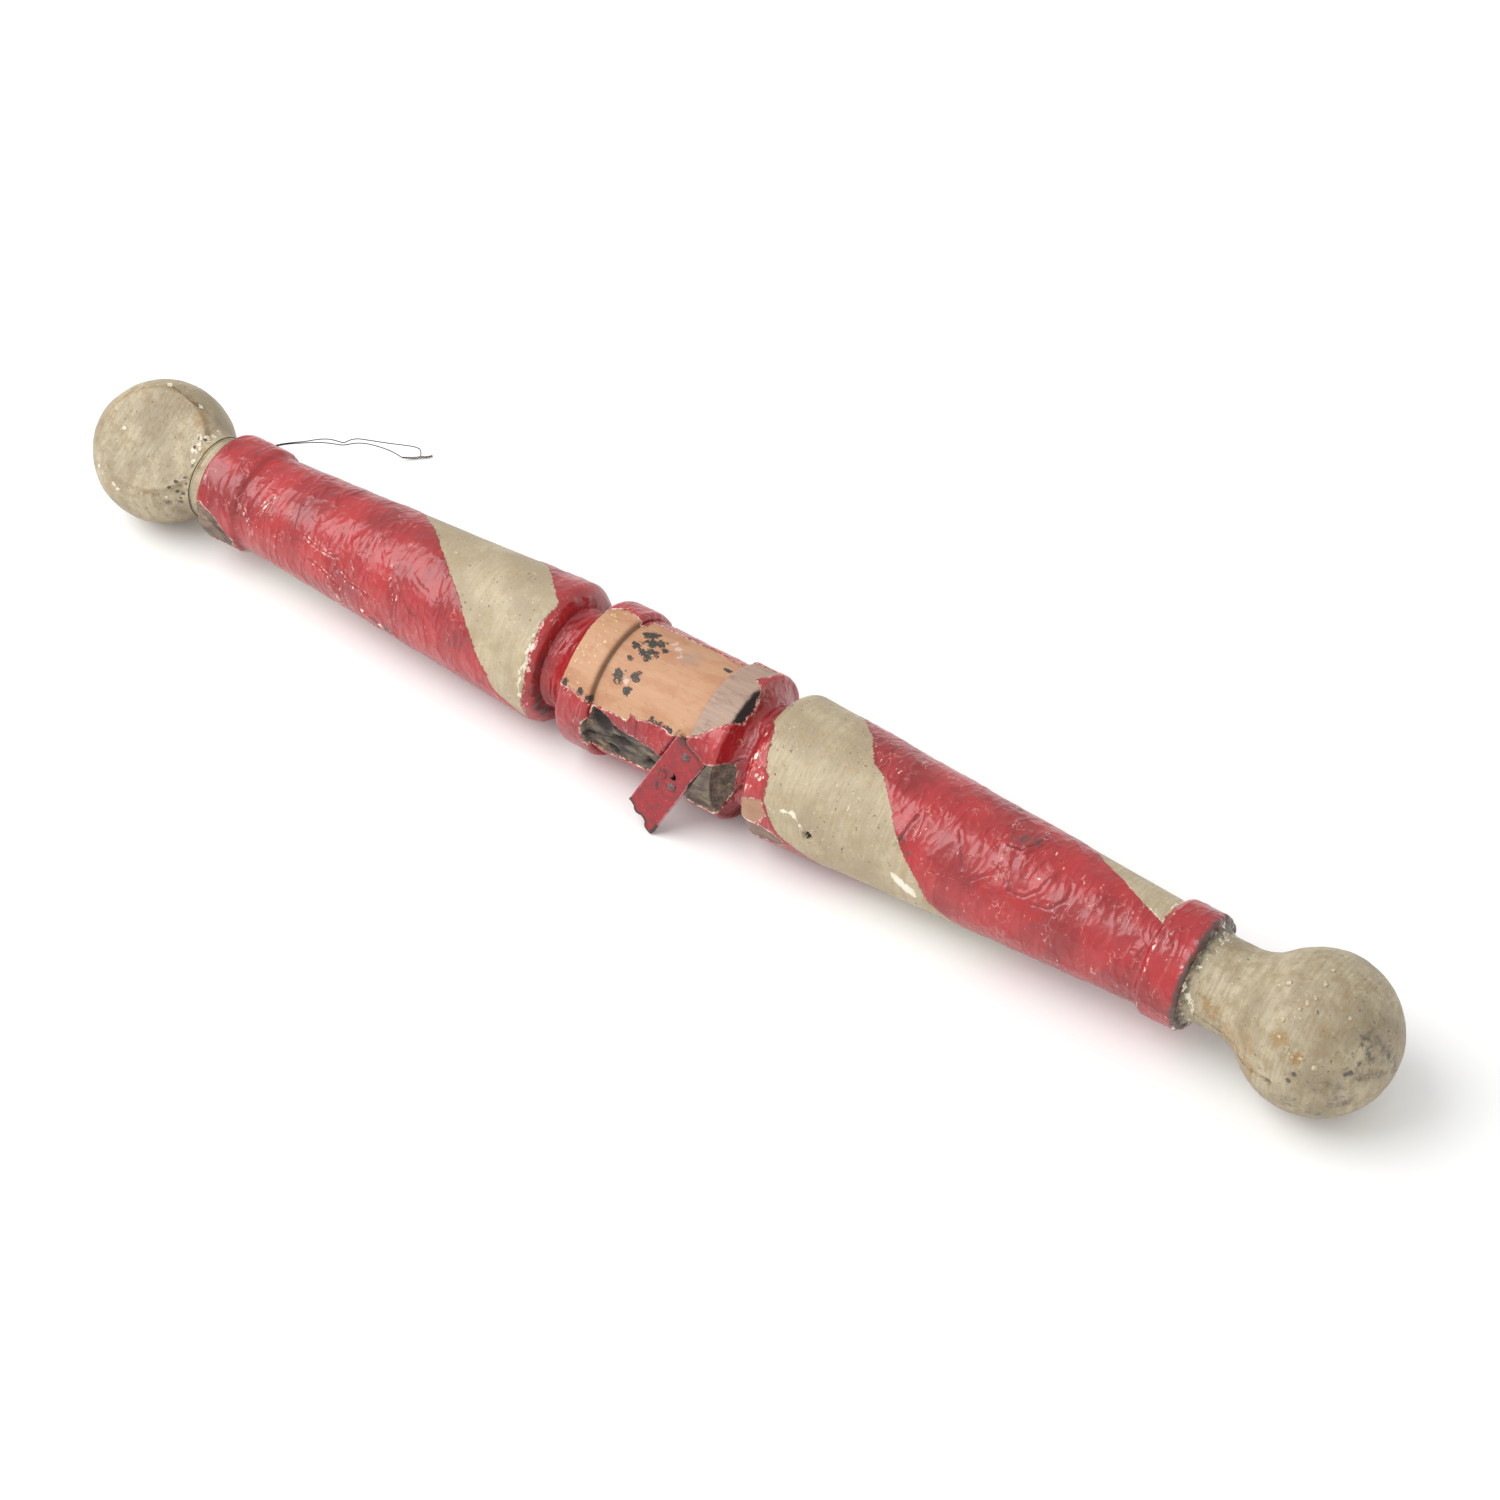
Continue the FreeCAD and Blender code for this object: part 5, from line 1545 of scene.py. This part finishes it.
class NodeRecipe:
    """A Geometry Nodes tree with named inputs, used once and turned into a plain mesh."""

    def __init__(self, name: str, material: bpy.types.Material, **sizes: float) -> None:
        """Start the tree with its geometry and its named inputs.

        Args:
            name: The tree's name.
            material: What its result is made of.
            sizes: Value of each input by name; a whole number makes a whole-number input.
        """
        self.material = material
        self.tree = bpy.data.node_groups.new(name, "GeometryNodeTree")
        self.given: dict[str, object] = {}
        self.tree.interface.new_socket("Geometry", in_out="INPUT", socket_type=GEOMETRY)
        for label, value in sizes.items():
            self.take(label, "NodeSocketInt" if isinstance(value, int) else FLOAT, value)
        self.take("Material", "NodeSocketMaterial", material)
        self.tree.interface.new_socket("Geometry", in_out="OUTPUT", socket_type=GEOMETRY)
        self.start = self.tree.nodes.new("NodeGroupInput")
        self.end = self.tree.nodes.new("NodeGroupOutput")

    def take(self, label: str, kind: str, value: object) -> None:
        """Add a named input and remember its value under the socket's identifier."""
        socket = self.tree.interface.new_socket(label, in_out="INPUT", socket_type=kind)
        self.given[socket.identifier] = value

    def input(self, name: str) -> SOCKET:
        """The output socket of the group input."""
        return self.start.outputs[name]

    def node(self, kind: str, inputs: dict | None = None, output: int | str = 0, **settings: object) -> SOCKET:
        """Add a node and give one of its outputs."""
        return add(self.tree, kind, inputs, **settings).outputs[output]

    def unevenness(self, scale: float, reach: object) -> SOCKET:
        """An offset that pushes points about.

        Args:
            scale: How many lumps of noise there are in a metre.
            reach: How far it pushes.

        Returns:
            The offset.
        """
        noise = self.node("ShaderNodeTexNoise", {"Scale": scale, "Detail": 2.0}, "Color")
        centred = self.node("ShaderNodeVectorMath", {0: noise, 1: (0.5, 0.5, 0.5)}, operation="SUBTRACT")
        return self.node("ShaderNodeVectorMath", {0: centred, "Scale": reach}, operation="SCALE")

    def facing_out(self) -> SOCKET:
        """The rotation that turns Z to the direction that each place keeps."""
        outward = self.node("GeometryNodeInputNamedAttribute", {"Name": "outward"}, data_type="FLOAT_VECTOR")
        return self.node("FunctionNodeAlignRotationToVector", {"Vector": outward}, axis="Z")

    def close(self, geometry: SOCKET) -> None:
        """End the tree with Realize Instances and Set Material."""
        real = self.node("GeometryNodeRealizeInstances", {0: geometry})
        painted = self.node("GeometryNodeSetMaterial", {0: real, "Material": self.input("Material")})
        self.tree.links.new(painted, self.end.inputs[0])

    def run(self, name: str, source: bpy.types.Object) -> bpy.types.Object:
        """Evaluate the tree on a source object and keep the result as a plain mesh.

        Args:
            name: Name of the new piece.
            source: The object that carries the points or the curve; it is removed.

        Returns:
            The new piece.
        """
        modifier = source.modifiers.new("recipe", "NODES")
        modifier.node_group = self.tree
        for identifier, value in self.given.items():
            modifier[identifier] = value
        bpy.context.view_layer.update()
        evaluated = source.evaluated_get(bpy.context.evaluated_depsgraph_get())
        mesh = bpy.data.meshes.new_from_object(evaluated)
        mesh.name = name
        source.modifiers.remove(modifier)
        bpy.data.objects.remove(source)
        piece = new_object(name, mesh, self.material)
        mesh.polygons.foreach_set("use_smooth", np.ones(len(mesh.polygons), bool))
        return piece


def point_cloud(name: str, points: np.ndarray, directions: np.ndarray) -> bpy.types.Object:
    """A mesh of loose points in millimetres, each with a direction.

    Args:
        name: The object's name.
        points: Places in millimetres.
        directions: Outward direction at each place.

    Returns:
        The object that carries them.
    """
    mesh = bpy.data.meshes.new(name)
    mesh.from_pydata((points * MM).tolist(), [], [])
    attribute = mesh.attributes.new("outward", "FLOAT_VECTOR", "POINT")
    attribute.data.foreach_set("vector", directions.astype(np.float32).ravel())
    thing = bpy.data.objects.new(name, mesh)
    bpy.context.scene.collection.objects.link(thing)
    return thing


@dataclass
class PaintBits:
    """Chips, flakes or blisters of old paint at given spots of a turned piece."""

    name: str
    radius: float
    flatness: float
    seed: int

    def build(
        self, piece: TurnedPiece, marks: Sequence[PAIR], material: bpy.types.Material, slot: str
    ) -> bpy.types.Object:
        """Build the bits with one tree.

        Args:
            piece: The piece that they cling to.
            marks: Where they are, as (X, turn).
            material: Their finish.
            slot: The record's material slot.

        Returns:
            The bits as one mesh.
        """
        recipe = NodeRecipe(
            self.name, material, Radius=self.radius * MM, Flatness=self.flatness, Seed=self.seed
        )
        radius, seed = recipe.input("Radius"), {"Seed": recipe.input("Seed")}
        bit = recipe.node("GeometryNodeMeshIcoSphere", {"Radius": radius, "Subdivisions": 3})
        reach = recipe.node("ShaderNodeMath", {0: radius, 1: 1.6}, operation="MULTIPLY")
        bit = recipe.node("GeometryNodeSetPosition", {0: bit, "Offset": recipe.unevenness(900.0, reach)})
        low = recipe.node("ShaderNodeCombineXYZ", {"X": 1.0, "Y": 1.0, "Z": recipe.input("Flatness")})
        bit = recipe.node("GeometryNodeTransform", {0: bit, "Scale": low})
        spin = recipe.node("FunctionNodeRandomValue", {**seed, 3: 2.0 * math.pi}, 1, data_type="FLOAT")
        about = recipe.node("ShaderNodeCombineXYZ", {"Z": spin})
        both = {0: recipe.facing_out(), 1: about}
        turned = recipe.node("FunctionNodeRotateRotation", both, rotation_space="LOCAL")
        sizes = {**seed, 0: (0.6, 0.6, 0.7), 1: (1.6, 1.2, 1.2)}
        spread = recipe.node("FunctionNodeRandomValue", sizes, data_type="FLOAT_VECTOR")
        placed = {"Points": recipe.input("Geometry"), "Instance": bit, "Rotation": turned, "Scale": spread}
        recipe.close(recipe.node("GeometryNodeInstanceOnPoints", placed))
        bits = recipe.run(self.name, point_cloud(self.name + "_places", *piece.spots(marks)))
        return declare(bits, Body.POLE, slot)


@dataclass
class StrapNails:
    """The two clout nails that hold the strap, with low domed heads."""

    strap: WallStrap
    shank: float = 1.5
    head: float = 3.0
    dome: float = 1.1
    length: float = 30.0

    def build(self, material: bpy.types.Material) -> bpy.types.Object:
        """Build both nails with one tree.

        Args:
            material: Forged iron.

        Returns:
            The nails.
        """
        places = [
            (*self.strap.front_nail, self.strap.thick - 0.35),
            (*self.strap.upper_nail, self.strap.thick - 0.75),
        ]
        outward = self.strap.outward()
        source = point_cloud("strap_nail_places", self.strap.at(np.array(places)), np.array([outward, outward]))
        sizes = {
            "Shank Radius": self.shank * MM,
            "Head Radius": self.head * MM,
            "Dome": self.dome / self.head,
            "Length": self.length * MM,
        }
        recipe = NodeRecipe("clout_nails", material, **sizes)
        length = recipe.input("Length")
        ball = {"Segments": 28, "Rings": 14, "Radius": recipe.input("Head Radius")}
        head = recipe.node("GeometryNodeMeshUVSphere", ball)
        low = recipe.node("ShaderNodeCombineXYZ", {"X": 1.0, "Y": 1.0, "Z": recipe.input("Dome")})
        head = recipe.node("GeometryNodeTransform", {0: head, "Scale": low})
        down = recipe.node("ShaderNodeMath", {0: length, 1: -0.5}, operation="MULTIPLY")
        shift = recipe.node("ShaderNodeCombineXYZ", {"Z": down})
        rod = {"Vertices": 16, "Radius": recipe.input("Shank Radius"), "Depth": length}
        shank = recipe.node("GeometryNodeMeshCylinder", rod)
        shank = recipe.node("GeometryNodeTransform", {0: shank, "Translation": shift})
        join = add(recipe.tree, "GeometryNodeJoinGeometry")
        for part in (head, shank):
            recipe.tree.links.new(part, join.inputs[0])
        uneven = {0: join.outputs[0], "Offset": recipe.unevenness(700.0, 0.8 * MM)}
        nail = recipe.node("GeometryNodeSetPosition", uneven)
        placed = {"Points": recipe.input("Geometry"), "Instance": nail, "Rotation": recipe.facing_out()}
        recipe.close(recipe.node("GeometryNodeInstanceOnPoints", placed))
        return declare(recipe.run("strap_nails_forged", source), Body.POLE, "iron_nail", "strap_nails")


# Routes of the loop's wires in metres: X from the neck wire, Y from the neck's back, Z from the surface.
UPPER_WIRE_ROUTE = (
    (-0.0003, 0.0006, 0.0486), (0.0024, 0.0113, 0.0479), (0.0074, 0.0226, 0.0471), (0.0139, 0.0293, 0.0474),
    (0.0209, 0.0356, 0.0474), (0.0257, 0.0427, 0.0469), (0.0305, 0.0487, 0.0454), (0.0353, 0.0522, 0.0432),
    (0.0375, 0.0552, 0.0406), (0.0365, 0.0612, 0.0385), (0.0373, 0.0682, 0.0358), (0.0416, 0.0758, 0.031),
    (0.0479, 0.0852, 0.0253), (0.0519, 0.0958, 0.0183), (0.0551, 0.1058, 0.0114), (0.0573, 0.1104, 0.0064),
    (0.0571, 0.1087, 0.0012),
)
LOWER_WIRE_ROUTE = (
    (0.0004, 0.0006, 0.0474), (0.0027, 0.0115, 0.0467), (0.0072, 0.0231, 0.0459), (0.0133, 0.0297, 0.0459),
    (0.0204, 0.0361, 0.0457), (0.0267, 0.0432, 0.0444), (0.0327, 0.0492, 0.042), (0.0367, 0.0546, 0.0386),
    (0.0381, 0.062, 0.0358), (0.04, 0.0691, 0.0326), (0.0432, 0.0766, 0.0273), (0.0457, 0.0854, 0.0192),
    (0.0469, 0.0938, 0.0102), (0.0484, 0.0991, 0.0029),
)
TWIST_ROUTE = (
    (0.0484, 0.0991, 0.0029), (0.0507, 0.1028, 0.0012), (0.0543, 0.1054, 0.0009), (0.0573, 0.109, 0.0009),
    (0.0609, 0.111, 0.0009), (0.0629, 0.1145, 0.0009),
)


@dataclass
class HangingLoop:
    """The wire tied round the left neck, its two strands and their twisted end."""

    places: Places
    wire: float = 0.36
    neck: float = 28.3
    gap: float = 0.05
    twist_turns: float = 5.5

    def from_neck(self, route: Sequence[TRIPLE]) -> list[Vector]:
        """A route's points in the row frame, in metres."""
        pivot = self.places.hanger_pivot
        x, y = pivot[0] * MM, (pivot[1] + self.neck) * MM
        return [Vector((x + a, y + b, c)) for a, b, c in route]

    def line(self, name: str, route: Sequence[TRIPLE], steps: int) -> bpy.types.Object:
        """A smooth curve along a route.

        Args:
            name: The curve's name.
            route: Its control points from the neck.
            steps: How finely it is divided between them.

        Returns:
            The curve object, still without thickness.
        """
        curve = bpy.data.curves.new(name, "CURVE")
        curve.dimensions = "3D"
        spline = curve.splines.new("NURBS")
        points = self.from_neck(route)
        spline.points.add(len(points) - 1)
        for target, point in zip(spline.points, points):
            target.co = (*point, 1.0)
        spline.order_u = 3
        spline.use_endpoint_u = True
        spline.resolution_u = steps
        thing = bpy.data.objects.new(name, curve)
        bpy.context.scene.collection.objects.link(thing)
        return thing

    def strand(
        self, name: str, node: str, route: Sequence[TRIPLE], material: bpy.types.Material
    ) -> bpy.types.Object:
        """One strand of the loop as a round wire along its route.

        Args:
            name: The piece's name.
            node: The CAD node that it stands for.
            route: Its control points from the neck.
            material: Its finish.

        Returns:
            The curve object.
        """
        piece = self.line(name, route, 8)
        piece.data.bevel_depth = self.wire * MM
        piece.data.bevel_resolution = 3
        piece.data.use_fill_caps = True
        piece.data.materials.append(material)
        return declare(piece, Body.HANGER, "iron_wire", node)

    def twist(self, material: bpy.types.Material) -> bpy.types.Object:
        """The two strands wound together at the loop's end.

        Args:
            material: Rusted wire.

        Returns:
            The twisted end.
        """
        sizes = {"Wire Radius": 0.92 * self.wire * MM, "Turns": self.twist_turns}
        recipe = NodeRecipe("twisted_wires", material, **sizes)
        wire = recipe.input("Wire Radius")

        def number(operation: str, *values: object) -> SOCKET:
            """A sum on numbers."""
            return recipe.node("ShaderNodeMath", dict(enumerate(values)), operation=operation)

        def arrow(operation: str, *values: object) -> SOCKET:
            """A sum on directions."""
            return recipe.node("ShaderNodeVectorMath", dict(enumerate(values)), operation=operation)

        fine = recipe.node("GeometryNodeResampleCurve", {"Curve": recipe.input("Geometry"), "Count": 120})
        factor = recipe.node("GeometryNodeSplineParameter", output="Factor")
        tangent = recipe.node("GeometryNodeInputTangent")
        side = arrow("NORMALIZE", arrow("CROSS_PRODUCT", tangent, (0.0, 0.0, 1.0)))
        up = arrow("CROSS_PRODUCT", side, tangent)
        angle = number("MULTIPLY", number("MULTIPLY", factor, recipe.input("Turns")), 2.0 * math.pi)
        belly = number("SINE", number("MULTIPLY", factor, math.pi))
        spread = number("MULTIPLY", number("MULTIPLY_ADD", belly, 0.6, 1.0), wire)
        join = add(recipe.tree, "GeometryNodeJoinGeometry")
        profile = recipe.node("GeometryNodeCurvePrimitiveCircle", {"Resolution": 10, "Radius": wire})
        for phase in (0.0, math.pi):
            turned = number("ADD", angle, phase)
            parts = []
            for function, direction in (("COSINE", side), ("SINE", up)):
                share = {0: direction, "Scale": number("MULTIPLY", number(function, turned), spread)}
                parts.append(recipe.node("ShaderNodeVectorMath", share, operation="SCALE"))
            strand = recipe.node("GeometryNodeSetPosition", {0: fine, "Offset": arrow("ADD", *parts)})
            tube = recipe.node("GeometryNodeCurveToMesh", {0: strand, 1: profile, "Fill Caps": True})
            recipe.tree.links.new(tube, join.inputs[0])
        recipe.close(join.outputs[0])
        piece = recipe.run("wire_twist_wound", self.line("twist_line", TWIST_ROUTE, 12))
        return declare(piece, Body.HANGER, "iron_wire", "wire_twist")

    def neck_ring(self, material: bpy.types.Material) -> bpy.types.Object:
        """The turn of wire round the neck, not quite round.

        Args:
            material: Tarnished wire.

        Returns:
            The ring.
        """
        noise = Noise(97)
        count, sides = 220, 10
        turns = np.linspace(0.0, 2.0 * np.pi, count, endpoint=False)
        pivot = np.array(self.places.hanger_pivot)
        base = np.stack([np.zeros(count), np.cos(turns), np.sin(turns)], axis=1)
        sway = 0.35 * noise.at(base * 28.0, 14.0, 2)
        reach = self.neck + self.gap + self.wire + 0.12 + 0.1 * noise.at(base * 28.0 + 9.0, 9.0, 2)
        middle = pivot + base * reach[:, None] + np.stack([sway, 0 * sway, 0 * sway], axis=1)
        ring, faces = [], []
        for k, (point, out) in enumerate(zip(middle, base)):
            here, there = k * sides, (k + 1) % count * sides
            for s in range(sides):
                t = 2.0 * math.pi * s / sides
                ring.append(point + self.wire * (math.cos(t) * out + math.sin(t) * np.array([1.0, 0.0, 0.0])))
                following = (s + 1) % sides
                faces.append([there + s, there + following, here + following, here + s])
        mesh = mesh_of("neck_wire_tied", np.array(ring), faces, {})
        piece = new_object("neck_wire_tied", mesh, material)
        return declare(piece, Body.HANGER, "green_wire", "neck_wire")

    def build(self, steel: bpy.types.Material, rust: bpy.types.Material, green: bpy.types.Material) -> None:
        """Args:
            steel: Finish of the strands.
            rust: Finish of the twisted end.
            green: Finish of the turn round the neck.
        """
        ring = self.neck_ring(green)
        twist = self.twist(rust)
        upper = self.strand("hanger_strand_upper", "hanger_wire_upper", UPPER_WIRE_ROUTE, steel)
        lower = self.strand("hanger_strand_lower", "hanger_wire_lower", LOWER_WIRE_ROUTE, steel)


# ---------------------------------------------------------------- stage


@dataclass
class Studio:
    """White paper, soft light and the camera."""

    azimuth: float = 35.33
    elevation: float = 45.35
    distance: float = 2.0270
    target: tuple[float, float, float] = (0.04396, 0.00507, 0.04566)
    lens: float = 79.26
    sensor: float = 36.0
    paper: float = 6.0
    paper_drop: float = 0.0004

    def camera(self) -> None:
        """Make the camera."""
        a, e = math.radians(self.azimuth), math.radians(self.elevation)
        back = Vector((math.sin(a) * math.cos(e), -math.cos(a) * math.cos(e), math.sin(e)))
        data = bpy.data.cameras.new("camera")
        data.lens, data.sensor_width = self.lens, self.sensor
        data.clip_start, data.clip_end = 0.05, 50.0
        bpy.context.scene.camera = self.hang("camera", data, Vector(self.target) + back * self.distance, -back)

    @staticmethod
    def hang(name: str, data: bpy.types.ID, place: Vector, facing: Vector) -> bpy.types.Object:
        """Put a camera or a lamp at a place, facing a way."""
        thing = bpy.data.objects.new(name, data)
        thing.location = place
        thing.rotation_mode = "QUATERNION"
        thing.rotation_quaternion = facing.to_track_quat("-Z", "Y")
        bpy.context.scene.collection.objects.link(thing)
        return thing

    def lamp(self, name: str, place: TRIPLE, size: float, watts: float) -> None:
        """A square softbox that faces the middle of the pole."""
        data = bpy.data.lights.new(name, "AREA")
        data.shape, data.size, data.energy = "SQUARE", size, watts
        self.hang(name, data, Vector(place), -Vector(place))

    def build(self) -> None:
        """Lay the paper and hang the lights."""
        mesh = bpy.data.meshes.new("paper")
        half, low = self.paper, -self.paper_drop
        corners = [(-half, -half, low), (half, -half, low), (half, half, low), (-half, half, low)]
        mesh.from_pydata(corners, [], [(0, 1, 2, 3)])
        new_object("paper", mesh, PaperSweep().build())
        self.lamp("key_softbox", (-1.25, -1.0, 2.1), 2.4, 62.0)
        self.lamp("fill_softbox", (1.2, -2.0, 1.8), 2.4, 8.0)
        world = bpy.data.worlds.new("studio")
        world.use_nodes = True
        back = world.node_tree.nodes["Background"]
        back.inputs["Color"].default_value = (1.0, 1.0, 1.0, 1.0)
        back.inputs["Strength"].default_value = 0.78
        bpy.context.scene.world = world
        bpy.context.scene.view_settings.view_transform = "Standard"
        log.info("studio: paper, two softboxes and the camera")


def main() -> None:
    """Build the pole's looks piece by piece."""
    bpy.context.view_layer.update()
    places = Places.read()
    studio = Studio()
    studio.camera()
    steel = PlainFinish("dull_steel_wire", "#0B0A09", "#1B1917", 0.0, 1.5).build()
    rusty = PlainFinish("rusted_steel_wire", "#2E2019", "#6B4632", 0.1, 1.2).build()
    green = PlainFinish("tarnished_green_wire", "#1E2A14", "#3C4A26", 0.2, 2.0).build()
    forged = PlainFinish("forged_iron_nail", "#4A3A3C", "#7C6264", 0.3, 1.6).build()
    HangingLoop(places).build(steel, rusty, green)
    studio.build()

    paint = AgedPaintOnWood().build()
    ball_paint = replace(
        AgedPaintOnWood(),
        name="aged_cream_paint_on_softwood",
        cream="#B3A588",
        cream_dark="#8F8168",
        tan="#86704A",
        tan_from=0.45,
        tan_share=0.52,
    ).build()
    strap = WallStrap()
    left_ball = EndBall(Side.LEFT, 9.0, places, 11)
    right_ball = EndBall(Side.RIGHT, 26.0, places, 15)
    drum = Drum(strap, places, 13)
    left_ball.build(ball_paint, "cream_painted_wood")
    Shaft(Side.LEFT, 32.0, places, 12).build(paint, "red_painted_wood")
    drum.build(paint, "bare_wood")
    Shaft(Side.RIGHT, 26.0, places, 14).build(paint, "red_painted_wood")
    right_ball.build(ball_paint, "cream_painted_wood")
    strap.build(PaintedIron().build())
    StrapNails(strap).build(forged)
    blister = PlainFinish("pale_paint_blister", "#A8977A", "#CBBC9C", 0.0, 3.0)
    chip = PlainFinish("white_paint_chip", "#B7AA90", "#DDD3BF", 0.0, 2.0)
    flake = PlainFinish("dark_paint_flake", "#4A4138", "#6E6352", 0.0, 2.0)
    yellowed = PlainFinish("yellowed_paint_chip", "#B08F62", "#CDB083", 0.0, 2.0)
    cream_slot = "cream_painted_wood"
    for bits, piece, marks, finish, slot in (
        (PaintBits("right_ball_blisters", 1.5, 0.5, 3), right_ball, RIGHT_BLISTERS, blister, cream_slot),
        (PaintBits("left_ball_chips", 1.3, 0.3, 5), left_ball, LEFT_CHIPS, chip, cream_slot),
        (PaintBits("left_ball_flakes", 1.2, 0.16, 7), left_ball, LEFT_FLAKES, flake, cream_slot),
        (PaintBits("drum_ring_chips", 0.9, 0.16, 9), drum, RING_CHIPS, yellowed, "bare_wood"),
    ):
        bits.build(piece, marks, finish.build(), slot)
    locking_nails = frame["nodes"]["locking_nails"].data
    locking_nails.materials.clear()
    locking_nails.materials.append(forged)


if __name__ == "__main__":
    main()
